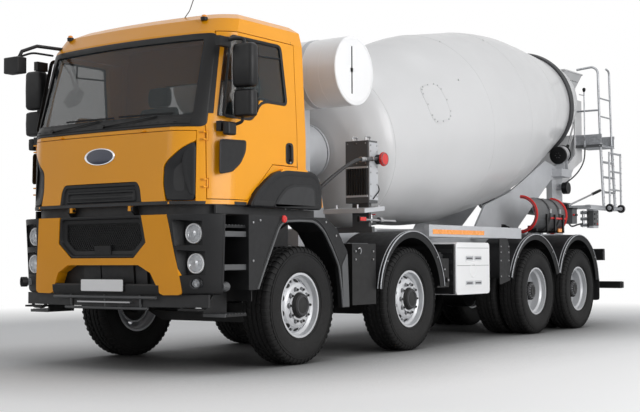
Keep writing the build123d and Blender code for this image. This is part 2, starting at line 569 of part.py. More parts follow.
def cab_ring(height, half, side_y, corner_x, corner_y, front_y, rear_y):
    """One closed level section of the cab."""
    middle = Vector((half + corner_x) / 2, (side_y + corner_y) / 2)
    bulge = middle + (Vector(half, corner_y) - middle) * CORNER_ROUND
    with BuildSketch(Plane.XY.offset(height)) as ring:
        with BuildLine():
            Polyline((half, side_y), (half, rear_y), (-half, rear_y), (-half, side_y))
            ThreePointArc((-half, side_y), (-bulge.X, bulge.Y), (-corner_x, corner_y))
            ThreePointArc((-corner_x, corner_y), (0, front_y), (corner_x, corner_y))
            ThreePointArc((corner_x, corner_y), (bulge.X, bulge.Y), (half, side_y))
        make_face()
    return ring.sketch


def cab_form(inset, floor):
    """The cab's outer form moved inwards by an inset, with its floor raised."""
    rings = []
    for row, (height, half, side_y, corner_x, corner_y, front_y) in enumerate(CAB_SECTIONS):
        height += floor if row == 0 else -inset if row == len(CAB_SECTIONS) - 1 else 0
        rings.append(cab_ring(height, half - inset, side_y + 0.3 * inset, corner_x - 0.5 * inset,
                              corner_y + inset, front_y + inset, CAB_REAR - inset))
    return loft(rings, ruled=True, mode=Mode.PRIVATE)


with BuildPart() as cab_outer:
    add(cab_form(0, 0))
with BuildPart() as cab_room:
    add(cab_form(-FIT, 0))
with BuildPart() as cab_inner:
    add(cab_form(CAB_WALL, CAB_FLOOR))
with BuildPart() as cab_panel:
    add(cab_form(FLAP_THICK, 0))
with BuildPart() as cab_panel_back:
    add(cab_form(FLAP_THICK + MOVING, 0))
with BuildPart() as glass_face:
    add(cab_form(12, 0))
with BuildPart() as glass_back:
    add(cab_form(20, 0))

# columns: y from the front axle, z
DOOR_OUTLINE = ((-1200, 1475), (-790, 1475), (-430, 1805), (-60, 1805), (-60, 2925), (-1010, 2925),
                (-1200, 2110))
DOOR_WINDOW = ((-1110, 2180), (-720, 2180), (-590, 2360), (-200, 2360), (-260, 2885), (-965, 2880))
WINDSCREEN = ((-960, 2125), (960, 2125), (915, 2880), (-915, 2880))
REAR_WINDOW = ((-560, 2250), (560, 2250), (560, 2700), (-560, 2700))
FLARE = ((-720, 1440), (-340, 1765), (10, 1780), (240, 1670), (280, 1440))
DOOR_X = (860, CAB_HALF + 60)


def aft_points(points):
    """Outline points with their y taken from the front axle."""
    return [(aft(y), z) for y, z in points]


def grown(points, amount):
    """An outline of straight sides, moved outwards by an amount, or inwards if negative."""
    with BuildSketch() as outline:
        with BuildLine():
            Polyline(*points, close=True)
        make_face()
        offset(amount=amount, kind=Kind.INTERSECTION)
    ring = [tuple(v)[:2] for v in outline.face().outer_wire().vertices()]
    middle = (sum(p[0] for p in ring) / len(ring), sum(p[1] for p in ring) / len(ring))
    return sorted(ring, key=lambda p: atan2(p[1] - middle[1], p[0] - middle[0]))


# The front flap hangs from two hinges on the skin, just over its top edge
FLAP_HINGE_X, FLAP_PIN_Y, FLAP_PIN_Z, FLAP_PIN_RADIUS = 500, aft(-1411.5), 2060, 5
FLAP_LUG = 15                 # half width of the cab's half of a flap hinge
FLAP_EYE = 8
# Each door hangs on two hinges at its front edge; columns: from z, to z of the door's eye
DOOR_HINGE_X, DOOR_HINGE_Y = 1045, aft(-1200)
DOOR_HINGE_Z = ((1580, 1630), (1980, 2030))
DOOR_PIN_RADIUS, DOOR_EYE, HINGE_LUG = 4.5, 9, 12


def door_hinge_bar(side, low, high, radius, mode=Mode.ADD):
    """A round bar on a door's hinge axis, between two heights."""
    rod((side * DOOR_HINGE_X, DOOR_HINGE_Y, low), (side * DOOR_HINGE_X, DOOR_HINGE_Y, high), radius, mode)


with BuildPart() as cab_shell:
    add(cab_outer.part)
    cut(cab_inner.part)
    with BuildPart(mode=Mode.PRIVATE) as flap_room:
        cross_plate((CAB_FRONT - 50, aft(-1100)),
                    ((-FLAP_X - MOVING, FLAP_Z[0] - MOVING), (FLAP_X + MOVING, FLAP_Z[0] - MOVING),
                     (FLAP_X + MOVING, FLAP_Z[1] + MOVING), (-FLAP_X - MOVING, FLAP_Z[1] + MOVING)))
        cut(cab_panel_back.part)
    cut(flap_room.part)
    cross_plate((CAB_FRONT - 50, aft(-700)), WINDSCREEN, mode=Mode.SUBTRACT)
    cross_plate((CAB_REAR - CAB_WALL - 5, CAB_REAR + 5), REAR_WINDOW, mode=Mode.SUBTRACT)
    for side in (1, -1):
        side_plate((side * DOOR_X[0], side * DOOR_X[1]), grown(aft_points(DOOR_OUTLINE), DOOR_GAP),
                   mode=Mode.SUBTRACT)
        side_plate((side * (CAB_HALF - 5), side * (CAB_HALF + 50)), aft_points(FLARE))
        block((side * CAB_LUG_X[0], side * CAB_LUG_X[1]), (HINGE_PIN_Y - HINGE_EYE, HINGE_PIN_Y + HINGE_EYE),
              (HINGE_PIN_Z - HINGE_EYE, CAB_BOTTOM + 5))
        hinge_x = side * FLAP_HINGE_X
        block((hinge_x - FLAP_LUG, hinge_x + FLAP_LUG), (FLAP_PIN_Y - FLAP_EYE, FLAP_PIN_Y + 30),
              (FLAP_PIN_Z - FLAP_EYE, FLAP_PIN_Z + FLAP_EYE))
        rod((hinge_x - 2 * FLAP_LUG, FLAP_PIN_Y, FLAP_PIN_Z),
            (hinge_x + 2 * FLAP_LUG, FLAP_PIN_Y, FLAP_PIN_Z), FLAP_PIN_RADIUS)
    for side in (1, -1):
        side_plate((side * (CAB_HALF - 6), side * (CAB_HALF + 51)),
                   grown(aft_points(DOOR_OUTLINE), DOOR_GAP), mode=Mode.SUBTRACT)
        for low, high in DOOR_HINGE_Z:
            door_hinge_bar(side, low - HINGE_LUG, high + HINGE_LUG, DOOR_PIN_RADIUS)
            for lug in ((low - HINGE_LUG, low), (high, high + HINGE_LUG)):
                door_hinge_bar(side, *lug, DOOR_EYE)
                block((side * (DOOR_HINGE_X - 45), side * DOOR_HINGE_X), (DOOR_HINGE_Y - 45, DOOR_HINGE_Y - 2),
                      lug)
    rod((-400, HINGE_PIN_Y, HINGE_PIN_Z), (400, HINGE_PIN_Y, HINGE_PIN_Z),
        HINGE_PIN_RADIUS + RUNNING, mode=Mode.SUBTRACT)
    # mirror over the right front corner, on two arms
    bent_tube(((-900, aft(-960), 2965), (-985, aft(-1260), 2970), (-1000, aft(-1430), 2900),
               (-1000, aft(-1480), 2800)), 12, 60)
    block((-1090, -910), (aft(-1560), aft(-1460)), (2690, 2820))
save("cab_shell", cab_shell)

with BuildPart() as glass_sheet:
    add(glass_face.part)
    cut(glass_back.part)

with BuildPart() as cab_glass:
    add(glass_sheet.part)
    with BuildPart(mode=Mode.PRIVATE) as panes:
        cross_plate((CAB_FRONT - 50, aft(-700)), grown(WINDSCREEN, -FIT))
        cross_plate((CAB_REAR - CAB_WALL, CAB_REAR), grown(REAR_WINDOW, -FIT))
    add(panes.part, mode=Mode.INTERSECT)
save("cab_glass", cab_glass)

for side_name, side in SIDES:
    span = (side * DOOR_X[0], side * DOOR_X[1])
    with BuildPart() as door:
        add(cab_outer.part)
        cut(cab_inner.part)
        with BuildPart(mode=Mode.PRIVATE) as door_prism:
            side_plate(span, aft_points(DOOR_OUTLINE))
        add(door_prism.part, mode=Mode.INTERSECT)
        side_plate(span, aft_points(DOOR_WINDOW), mode=Mode.SUBTRACT)
        for low, high in DOOR_HINGE_Z:
            door_hinge_bar(side, low - HINGE_LUG - MOVING, high + HINGE_LUG + MOVING, DOOR_EYE + MOVING,
                           mode=Mode.SUBTRACT)
            door_hinge_bar(side, low + FIT, high - FIT, DOOR_EYE)
            block((side * (DOOR_HINGE_X - 30), side * DOOR_HINGE_X), (DOOR_HINGE_Y, DOOR_HINGE_Y + 30),
                  (low + FIT, high - FIT))
            door_hinge_bar(side, low, high, DOOR_PIN_RADIUS + RUNNING, mode=Mode.SUBTRACT)
    save(f"door_{side_name}", door)
    with BuildPart() as pane:
        add(glass_sheet.part)
        with BuildPart(mode=Mode.PRIVATE) as pane_prism:
            side_plate(span, grown(aft_points(DOOR_WINDOW), -FIT))
        add(pane_prism.part, mode=Mode.INTERSECT)
    save(f"door_glass_{side_name}", pane)
    with BuildPart() as mirror_pair:
        block((side * 1195, side * 1405), (aft(-1050), aft(-930)), (2410, 2780))
        block((side * 1205, side * 1395), (aft(-1045), aft(-935)), (2160, 2385))
        block((side * 1290, side * 1310), (aft(-1000), aft(-980)), (2100, 2830))
        for arm_z in (2100, 2810):
            block((side * 1100, side * 1310), (aft(-1000), aft(-975)), (arm_z, arm_z + 20))
        cut(cab_room.part)
    save(f"mirror_{side_name}", mirror_pair)

with BuildPart() as front_flap:
    add(cab_outer.part)
    cut(cab_panel.part)
    with BuildPart(mode=Mode.PRIVATE) as flap_prism:
        cross_plate((CAB_FRONT - 50, aft(-1100)),
                    ((-FLAP_X, FLAP_Z[0]), (FLAP_X, FLAP_Z[0]), (FLAP_X, FLAP_Z[1]), (-FLAP_X, FLAP_Z[1])))
    add(flap_prism.part, mode=Mode.INTERSECT)
    for side in (1, -1):
        for outwards in (1, -1):
            arm_x = [side * FLAP_HINGE_X + outwards * reach for reach in (FLAP_LUG + 2, 2 * FLAP_LUG)]
            block(arm_x, (FLAP_PIN_Y - FLAP_EYE, FLAP_PIN_Y + FLAP_EYE - 1), (FLAP_PIN_Z - 50, FLAP_PIN_Z))
            block(arm_x, (FLAP_PIN_Y - FLAP_EYE, FLAP_PIN_Y + 24), (FLAP_PIN_Z - 50, FLAP_Z[1] - 5))
            rod((arm_x[0], FLAP_PIN_Y, FLAP_PIN_Z), (arm_x[1], FLAP_PIN_Y, FLAP_PIN_Z), FLAP_EYE)
            rod((arm_x[0], FLAP_PIN_Y, FLAP_PIN_Z), (arm_x[1], FLAP_PIN_Y, FLAP_PIN_Z),
                FLAP_PIN_RADIUS + RUNNING, mode=Mode.SUBTRACT)
save("front_flap", front_flap)

# ---------------------------------------------------------------- cab interior
FLOOR = CAB_BOTTOM + CAB_FLOOR + FIT
DRIVER_X = 560
with BuildPart() as seats:
    for side in (1, -1):
        centre = side * DRIVER_X
        block((centre - 180, centre + 180), (aft(-440), aft(-100)), (FLOOR, 1800))
        block((centre - 250, centre + 250), (aft(-520), aft(-40)), (1800, 1920))
        side_plate((centre - 250, centre + 250),
                   ((aft(-130), 1920), (aft(-30), 1920), (aft(10), 2480), (aft(-90), 2480)))
        side_plate((centre - 130, centre + 130),
                   ((aft(-80), 2480), (aft(0), 2480), (aft(10), 2680), (aft(-70), 2680)))
save("seats", seats)

DASH_X, DASH_Y = 840, (aft(-1240), aft(-930))
COLUMN_LEAN = 40              # of the steering column, from upright
WHEEL_CENTRE = Vector(DRIVER_X, aft(-700), 2110)
COLUMN = Vector(0, sin(radians(COLUMN_LEAN)), cos(radians(COLUMN_LEAN)))
COLUMN_BOSS = 270             # from the steering wheel down to the dashboard's boss
with BuildPart() as dashboard:
    side_plate((-DASH_X, DASH_X), ((DASH_Y[0], FLOOR), (DASH_Y[1] - 120, FLOOR), (DASH_Y[1], 1750),
                                   (DASH_Y[1] - 20, 2000), (DASH_Y[0], 2060)))
    rod(WHEEL_CENTRE - COLUMN * (COLUMN_BOSS + 180), WHEEL_CENTRE - COLUMN * COLUMN_BOSS, 55)
save("dashboard", dashboard)

with BuildPart() as steering_wheel:
    wheel_disc = Plane(origin=WHEEL_CENTRE, x_dir=(1, 0, 0), z_dir=COLUMN)
    with BuildSketch(Plane(origin=WHEEL_CENTRE, x_dir=(1, 0, 0), z_dir=wheel_disc.y_dir)):
        with Locations((225, 0)):
            Circle(16)
    revolve(axis=Axis(WHEEL_CENTRE, COLUMN))
    with BuildSketch(wheel_disc.offset(-8)):
        Circle(60)
        with PolarLocations(0, 3, start_angle=-90):
            with Locations((0, 0)):
                Rectangle(215, 36, align=(Align.MIN, Align.CENTER))
    extrude(amount=16)
    rod(WHEEL_CENTRE - COLUMN * (COLUMN_BOSS - FIT), WHEEL_CENTRE, 26)
save("steering_wheel", steering_wheel)

# ---------------------------------------------------------------- bumper, lamps
BUMPER_Z = (520, 1345)
BUMPER_WALL = 60
BUMPER_HALF, BUMPER_END = 1205, aft(-1148)


def bumper_ring(inset):
    """Level section of the bumper: flat front, round corners, open to the rear."""
    with BuildSketch(Plane.XY.offset(BUMPER_Z[0])) as ring:
        half, front = BUMPER_HALF - inset, aft(-1450) + inset
        bulge = (1037 - inset * 0.6, aft(-1340) + inset * 0.8)
        with BuildLine():
            Line((half, BUMPER_END), (-half, BUMPER_END))
            Line((-half, BUMPER_END), (-half, BUMPER_END - 25))
            ThreePointArc((-half, BUMPER_END - 25), (-bulge[0], bulge[1]), (-820, front + 20))
            ThreePointArc((-820, front + 20), (0, front), (820, front + 20))
            ThreePointArc((820, front + 20), bulge, (half, BUMPER_END - 25))
            Line((half, BUMPER_END - 25), (half, BUMPER_END))
        make_face()
    return ring.sketch


# columns: x, y, z, radius, how far the lamp turns outwards in degrees, how far its bowl reaches
HEADLAMPS = ((966, aft(-1275), 1182, 78, 5, 150), (982, aft(-1268), 930, 78, 5, 150),
             (1035, aft(-1325), 765, 36, 25, 20))
LAMP_DEPTH, LAMP_SHELL = 60, 14
BOWL_SPREAD = 0.3             # how much a bowl widens for each millimetre outwards


def lamp_rod(x, y, z, radius, turn, start, length, mode=Mode.ADD):
    """A round bar along a headlamp's own axis, from start to start + length behind its glass."""
    into = Vector(-sin(radians(turn)), cos(radians(turn)), 0)
    glass = Vector(x, y, z)
    rod(glass + into * start, glass + into * (start + length), radius, mode=mode)


def lamp_bowl(x, y, z, radius, turn, reach):
    """A bowl that widens from a headlamp's glass out through the skin."""
    into = Vector(-sin(radians(turn)), cos(radians(turn)), 0)
    with BuildSketch(Plane(origin=Vector(x, y, z), z_dir=-into)) as glass_ring:
        Circle(radius)
    with BuildSketch(Plane(origin=Vector(x, y, z) - into * reach, z_dir=-into)) as mouth_ring:
        Circle(radius + BOWL_SPREAD * reach)
    loft([glass_ring.sketch, mouth_ring.sketch])


with BuildPart() as bumper_form:
    extrude(bumper_ring(0), amount=BUMPER_Z[1] - BUMPER_Z[0])
with BuildPart() as lamp_housings:
    for x, y, z, radius, turn, reach in HEADLAMPS:
        lamp_rod(x, y, z, radius + LAMP_SHELL, turn, 0, LAMP_DEPTH)
        lamp_bowl(x, y, z, radius + LAMP_SHELL, turn, reach)
    both_sides()
    add(bumper_form.part, mode=Mode.INTERSECT)
with BuildPart() as lamp_pockets:
    for x, y, z, radius, turn, reach in HEADLAMPS:
        lamp_rod(x, y, z, radius + FIT, turn, 0, LAMP_DEPTH + FIT)
        lamp_bowl(x, y, z, radius + FIT, turn, reach)
    both_sides()
with BuildPart() as bumper:
    extrude(bumper_ring(0), amount=BUMPER_Z[1] - BUMPER_Z[0])
    extrude(bumper_ring(BUMPER_WALL), amount=BUMPER_Z[1] - BUMPER_Z[0], mode=Mode.SUBTRACT)
    block((-1300, 1300), (BUMPER_END - 1, BUMPER_END + 20), BUMPER_Z, mode=Mode.SUBTRACT)
    block((-460, 460), (aft(-1500), aft(-1300)), (790, 920), mode=Mode.SUBTRACT)
    for side in (1, -1):
        block((side * 350, side * 420), (aft(-1395), FRAME_FRONT - FIT), (880, 1040))
    add(lamp_housings.part)
    cut(lamp_pockets.part)
save("bumper", bumper)

TAIL_Y, TAIL_Z = (aft(7450), aft(7520)), (930, 1040)
with BuildPart() as lamps:
    for x, y, z, radius, turn, reach in HEADLAMPS:
        lamp_rod(x, y, z, radius, turn, 0, LAMP_DEPTH)
    block((860, 1090), TAIL_Y, TAIL_Z)
    both_sides()
save("lamps", lamps)

# ---------------------------------------------------------------- fenders and steps
SHEET_FENDER = 12


def thick_strip(points, thickness):
    """Closed outline of a strip that runs along points, thickened to the left of its run."""
    outer = []
    for index, (y, z) in enumerate(points):
        before = points[max(index - 1, 0)]
        after = points[min(index + 1, len(points) - 1)]
        length = sqrt((after[0] - before[0]) ** 2 + (after[1] - before[1]) ** 2)
        outer.append((y - thickness * (after[1] - before[1]) / length,
                      z + thickness * (after[0] - before[0]) / length))
    return list(points) + outer[::-1]


# columns: y from the wheel's axle, z; the sheet over the wheel and the face beside it
FRONT_SHEET = ((-760, 600), (-760, 760), (-430, 1275), (-350, 1312), (110, 1322), (340, 1215), (640, 900),
               (680, 500))
FRONT_FACE = ((-850, 700), (-850, 1345), (300, 1345), (480, 1250), (660, 1030), (692, 500), (575, 500),
              (515, 900), (280, 1210), (100, 1310), (-350, 1300), (-420, 1260), (-730, 700))
FENDER_X = (860, 1175, 1220)
STEP_Y = (aft(-1140), aft(-850))
with BuildPart() as front_fenders:
    axle_y = AXLE_Y[0]
    side_plate(FENDER_X[:2], thick_strip([(axle_y + y, z) for y, z in FRONT_SHEET], SHEET_FENDER))
    side_plate(FENDER_X[1:], [(axle_y + y, z) for y, z in FRONT_FACE])
    block((FRAME_HALF + FIT, FENDER_X[0] + 60), (axle_y + 555, axle_y + 600), (985, 1025))
    block((930, 950), (STEP_Y[0], STEP_Y[1] + 20), (480, 1345))
    for tread_z in (480, 870, 1230):
        block((930, FENDER_X[2] - 35), STEP_Y, (tread_z, tread_z + 20))
    block((930, FENDER_X[2]), (STEP_Y[1] - 10, axle_y - 740), (700, 1345))
    block((FRAME_HALF + FIT, 940), (STEP_Y[0] + 120, STEP_Y[0] + 160), (985, 1045))
    both_sides()
save("front_fenders", front_fenders)

# columns: axle number, front y and z from the axle, top y and z, rear y and z, outer x
REAR_ARCHES = ((2, -660, 660, -30, 1238, 640, 660, 1200), (3, -740, 720, -40, 1250, 672, 760, 1130),
               (4, -640, 760, -30, 1260, 672, 650, 1130))
ARCH_INNER_X = 600


def arch_height(front, top, rear, y):
    """Height at y of the circle through three (y, z) points."""
    (ay, az), (by, bz), (cy, cz) = front, top, rear
    double = 2 * (ay * (bz - cz) + by * (cz - az) + cy * (az - bz))
    squares = [py ** 2 + pz ** 2 for py, pz in (front, top, rear)]
    centre_y = (squares[0] * (bz - cz) + squares[1] * (cz - az) + squares[2] * (az - bz)) / double
    centre_z = (squares[0] * (cy - by) + squares[1] * (ay - cy) + squares[2] * (by - ay)) / double
    radius = sqrt((ay - centre_y) ** 2 + (az - centre_z) ** 2)
    return centre_z + sqrt(radius ** 2 - (y - centre_y) ** 2)


with BuildPart() as rear_fenders:
    for number, front_y, front_z, top_y, top_z, rear_y, rear_z, outer_x in REAR_ARCHES:
        axle_y = AXLE_Y[number - 1]
        with BuildSketch(Plane.YZ.offset(ARCH_INNER_X)):
            with BuildLine():
                ThreePointArc((axle_y + front_y, front_z), (axle_y + top_y, top_z),
                              (axle_y + rear_y, rear_z))
                Line((axle_y + rear_y, rear_z), (axle_y + rear_y + SHEET_FENDER, rear_z))
                ThreePointArc((axle_y + rear_y + SHEET_FENDER, rear_z),
                              (axle_y + top_y, top_z + SHEET_FENDER),
                              (axle_y + front_y - SHEET_FENDER, front_z))
                Line((axle_y + front_y - SHEET_FENDER, front_z), (axle_y + front_y, front_z))
            make_face()
        extrude(amount=outer_x - ARCH_INNER_X)
        for stay in (-430, 400):
            stay_z = arch_height((front_y, front_z), (top_y, top_z), (rear_y, rear_z), stay)
            block((SUB_X[1] + FIT, outer_x - 80), (axle_y + stay - 15, axle_y + stay + 15),
                  (stay_z - 40, stay_z + SHEET_FENDER / 2))
    # mudflap under the last arch
    block((ARCH_INNER_X, outer_x), (axle_y + rear_y, axle_y + rear_y + SHEET_FENDER), (370, rear_z))
    both_sides()
save("rear_fenders", rear_fenders)

# ---------------------------------------------------------------- tanks and boxes
with BuildPart() as side_tank:
    block((540, 1150), (aft(2960), aft(3780)), (550, 1140))
    fillet(side_tank.edges().filter_by(Axis.X), radius=45)
    for arm_y in (aft(3100), aft(3600)):
        block((FRAME_HALF + FIT, 545), (arm_y, arm_y + 60), (850, 1000))
save("side_tank", side_tank)

with BuildPart() as side_boxes:
    for side in (1, -1):
        block((side * 620, side * 1150), (aft(850), aft(1280)), (510, 1110))
        block((side * (FRAME_HALF + FIT), side * 625), (aft(1000), aft(1060)), (850, 1000))
    block((-1150, -540), (aft(2760), aft(3900)), (520, 1140))
    for arm_y in (aft(3000), aft(3600)):
        block((-545, -FRAME_HALF - FIT), (arm_y, arm_y + 60), (850, 1000))
save("side_boxes", side_boxes)

# ---------------------------------------------------------------- rear platform, ladder
LADDER_Y = (aft(8000), aft(8450))
PLATFORM_Z = 2600
# ladder stringers lean outwards towards the ground; columns: x, z
LADDER_TOP, LADDER_FOOT = (868, PLATFORM_Z - 1.2), (905, 1700)
with BuildPart() as rear_platform:
    block((HOLDER_X[1] + FIT, 900), (LADDER_Y[0] - 25, LADDER_Y[1] + 25), (PLATFORM_Z, PLATFORM_Z + 12))
    block((HOLDER_X[1] + FIT, 895), (LADDER_Y[0] - 25, LADDER_Y[0] - 19), (PLATFORM_Z, PLATFORM_Z + 150))
    block((HOLDER_X[1] + FIT, 895), (LADDER_Y[1] + 19, LADDER_Y[1] + 25), (PLATFORM_Z, PLATFORM_Z + 150))
    bent_tube(((865, LADDER_Y[0], PLATFORM_Z + 8), (840, LADDER_Y[0], 3810), (510, LADDER_Y[0], 3780)), 17, 110)
    bent_tube(((865, LADDER_Y[1], PLATFORM_Z + 8), (840, LADDER_Y[1], 3780),
               (840, LADDER_Y[1] - 120, 3800)), 15, 60)
    rod((860, LADDER_Y[0], 3150), (510, LADDER_Y[0], 3150), 14)
    # lever rod of the drum's control, in two clips on the platform's front edge
    lever_x, lever_y, lever_z = CABLE_ROUTE[0]
    rod((lever_x, lever_y, lever_z), (lever_x, lever_y, 3440), 9)
    for clip_z in (2612, 2705):
        block((lever_x - 15, lever_x + 15), (lever_y - 12, LADDER_Y[0] - 20), (clip_z, clip_z + 25))
save("rear_platform", rear_platform)

BEAM_X = (870, 930)
# The lower ladder folds about discs beside the beam; HINGE_X is where its stringers stand
HINGE_X, HINGE_Z, DISC_RADIUS = BEAM_X[1] + 68, 1688, 62
with BuildPart() as ladder:
    for stringer_y in LADDER_Y:
        rod((LADDER_FOOT[0], stringer_y, LADDER_FOOT[1]), (LADDER_TOP[0], stringer_y, LADDER_TOP[1]), 20)
    for rung in range(1, 4):
        share = rung / 4
        rung_x = LADDER_FOOT[0] + (LADDER_TOP[0] - LADDER_FOOT[0]) * share
        rung_z = LADDER_FOOT[1] + (LADDER_TOP[1] - LADDER_FOOT[1]) * share
        rod((rung_x, LADDER_Y[0], rung_z), (rung_x, LADDER_Y[1], rung_z), 14)
    block(BEAM_X, (POST_Y[1] - 80, LADDER_Y[1] + 25), (1660, 1715))
    block((PLATE_X[1] + FIT, BEAM_X[1]), (POST_Y[1] - 80, POST_Y[1] - 20), (1660, 1715))
    block((800, 900), (aft(7600), aft(7790)), (1390, 1665))
    for disc_y in LADDER_Y:
        inward = 1 if disc_y == LADDER_Y[0] else -1
        block((BEAM_X[1] - 5, HINGE_X + 15), (disc_y + inward * 45, disc_y + inward * 57),
              (HINGE_Z - 20, HINGE_Z + 20))
        rod((HINGE_X, disc_y + inward * 50, HINGE_Z), (HINGE_X, disc_y - inward * 15, HINGE_Z), 12)
save("ladder", ladder)

with BuildPart() as lower_ladder:
    for disc_y in LADDER_Y:
        rod((HINGE_X, disc_y - 15, HINGE_Z), (HINGE_X, disc_y + 15, HINGE_Z), DISC_RADIUS)
        rod((HINGE_X, disc_y, HINGE_Z), (HINGE_X, disc_y, HINGE_Z + 830), 14)
    for rung_z in (270, 540, 810):
        rod((HINGE_X, LADDER_Y[0], HINGE_Z + rung_z), (HINGE_X, LADDER_Y[1], HINGE_Z + rung_z), 12)
    for disc_y in LADDER_Y:
        rod((HINGE_X, disc_y - 16, HINGE_Z), (HINGE_X, disc_y + 16, HINGE_Z), 12 + RUNNING,
            mode=Mode.SUBTRACT)
save("lower_ladder", lower_ladder)

# ---------------------------------------------------------------- chutes
SWIVEL_Y = FRAME_REAR + 100
COLUMN_RADIUS = 55
CHUTE_RADIUS, CHUTE_WALL = 220, 6
CHUTE_Z, CHUTE_LIFT = 1800, 8
with BuildPart() as underrun:
    for side in (1, -1):
        block((side * 340, side * 415), (FRAME_REAR - 120, FRAME_REAR - 40), (560, RAIL_BOTTOM - FIT))
    block((-1150, 1150), (FRAME_REAR - 40, FRAME_REAR + 60), (510, 610))
    block((-90, 90), (FRAME_REAR + FIT, SWIVEL_Y + 90), (860, 1040))
    rod((0, SWIVEL_Y, 850), (0, SWIVEL_Y, 1050), COLUMN_RADIUS + RUNNING, mode=Mode.SUBTRACT)
    for side in (1, -1):
        block((side * 50, side * 90), (FRAME_REAR + FIT, FRAME_REAR + 60), (600, 870))
        block((side * (FRAME_HALF + FIT), side * 1100), (aft(7460), aft(7510)), (TAIL_Z[1] + FIT, 1085))
save("underrun", underrun)

ARM_Y = (CHUTE_RADIUS + MOVING, CHUTE_RADIUS + MOVING + 16)
CRADLE_Z = (1415, 1445)       # plate under the chute that joins the cradle's arms
with BuildPart() as chute_swivel:
    rod((0, SWIVEL_Y, 830), (0, SWIVEL_Y, CRADLE_Z[1]), COLUMN_RADIUS)
    rod((0, SWIVEL_Y, 1040 + FIT), (0, SWIVEL_Y, 1065), 80)
    rod((0, SWIVEL_Y, CRADLE_Z[0]), (0, SWIVEL_Y, CRADLE_Z[1]), 110)
    for side in (1, -1):
        arm_y = SWIVEL_Y + side * ARM_Y[0], SWIVEL_Y + side * ARM_Y[1]
        block((-40, 40), arm_y, (CRADLE_Z[0], CHUTE_Z + 40))
        block((-40, 40), (SWIVEL_Y, arm_y[1]), CRADLE_Z)
        rod((0, SWIVEL_Y + side * (CHUTE_RADIUS - 30), CHUTE_Z), (0, arm_y[1], CHUTE_Z), 15)
save("chute_swivel", chute_swivel)

chute_run = Vector(-cos(radians(CHUTE_LIFT)), 0, sin(radians(CHUTE_LIFT)))
chute_pivot = Vector(0, SWIVEL_Y, CHUTE_Z)
CHUTE_HEAD, CHUTE_TIP = 260, 1130
RIM_UP = 20                   # the chute's rims stand this much over its pivot


def half_pipe(radius, wall, rim):
    """Wall of an open gutter: a ring with all of it above the rim cut off, local y pointing down."""
    Circle(radius)
    Circle(radius - wall, mode=Mode.SUBTRACT)
    with Locations((0, -radius - rim)):
        Rectangle(3 * radius, 2 * radius, mode=Mode.SUBTRACT)


with BuildPart() as main_chute:
    with BuildSketch(Plane(origin=chute_pivot - chute_run * CHUTE_HEAD, x_dir=(0, 1, 0), z_dir=chute_run)):
        half_pipe(CHUTE_RADIUS, CHUTE_WALL, RIM_UP)
    extrude(amount=CHUTE_HEAD + CHUTE_TIP)
    for side in (1, -1):
        block((-35, 35), (SWIVEL_Y + side * (CHUTE_RADIUS - 24), SWIVEL_Y + side * (CHUTE_RADIUS - 3)),
              (CHUTE_Z - 35, CHUTE_Z + 18))
    rod((0, SWIVEL_Y - CHUTE_RADIUS - 1, CHUTE_Z), (0, SWIVEL_Y + CHUTE_RADIUS + 1, CHUTE_Z),
        15 + RUNNING, mode=Mode.SUBTRACT)
save("main_chute", main_chute)

with BuildPart() as extension_chute:
    with BuildSketch(Plane(origin=(EXTENSION_X, EXTENSION_Y[0], EXTENSION_Z), x_dir=(0, 0, 1),
                           z_dir=(0, 1, 0))):
        half_pipe(EXTENSION_RADIUS, CHUTE_WALL, 0)
    extrude(amount=EXTENSION_Y[1] - EXTENSION_Y[0])
save("extension_chute", extension_chute)
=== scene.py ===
"""Looks of the concrete mixer truck: finishes, fine parts, floor, light and camera.

Metres. +X is the truck's left, +Y its rear, +Z up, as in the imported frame.
"""
import json
from math import atan2, cos, hypot, pi, radians, sin, sqrt

import bmesh
import bpy
from mathutils import Matrix, Vector


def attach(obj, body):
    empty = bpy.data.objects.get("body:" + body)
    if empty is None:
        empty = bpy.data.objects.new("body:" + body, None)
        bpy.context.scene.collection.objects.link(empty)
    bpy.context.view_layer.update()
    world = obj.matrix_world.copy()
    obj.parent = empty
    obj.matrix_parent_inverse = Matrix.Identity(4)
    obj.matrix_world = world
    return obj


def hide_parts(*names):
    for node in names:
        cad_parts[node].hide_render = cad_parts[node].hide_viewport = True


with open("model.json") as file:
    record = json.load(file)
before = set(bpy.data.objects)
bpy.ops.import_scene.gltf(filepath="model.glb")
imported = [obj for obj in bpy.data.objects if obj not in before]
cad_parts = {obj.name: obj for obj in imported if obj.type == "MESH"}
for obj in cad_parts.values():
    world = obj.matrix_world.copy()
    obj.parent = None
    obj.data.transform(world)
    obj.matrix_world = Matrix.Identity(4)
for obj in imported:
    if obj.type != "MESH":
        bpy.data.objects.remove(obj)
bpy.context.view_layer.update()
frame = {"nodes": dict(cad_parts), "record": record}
NODES = frame["nodes"]
SIDES = (("left", 1), ("right", -1))


# ---------------------------------------------------------------- materials
def new_material(name):
    """An empty node material: its tree, its Principled shader and its object coordinates."""
    material = bpy.data.materials.new(name)
    material.use_nodes = True
    tree = material.node_tree
    principled = tree.nodes["Principled BSDF"]
    place = tree.nodes.new("ShaderNodeTexCoord")
    return material, tree, principled, place.outputs["Object"]


def node(tree, kind, values=(), links=()):
    """A shader node with numbers on its sockets and links into them."""
    made = tree.nodes.new("ShaderNode" + kind)
    for socket, number in values:
        made.inputs[socket].default_value = number
    for socket, source in links:
        tree.links.new(source, made.inputs[socket])
    return made


def noise(tree, place, scale, detail, stretch=None):
    """A noise texture's factor, at so many cells a metre, stretched along an axis if asked."""
    if stretch:
        place = node(tree, "Mapping", [("Scale", stretch)], [("Vector", place)]).outputs["Vector"]
    return node(tree, "TexNoise", [("Scale", scale), ("Detail", detail)],
        [("Vector", place)]).outputs["Fac"]


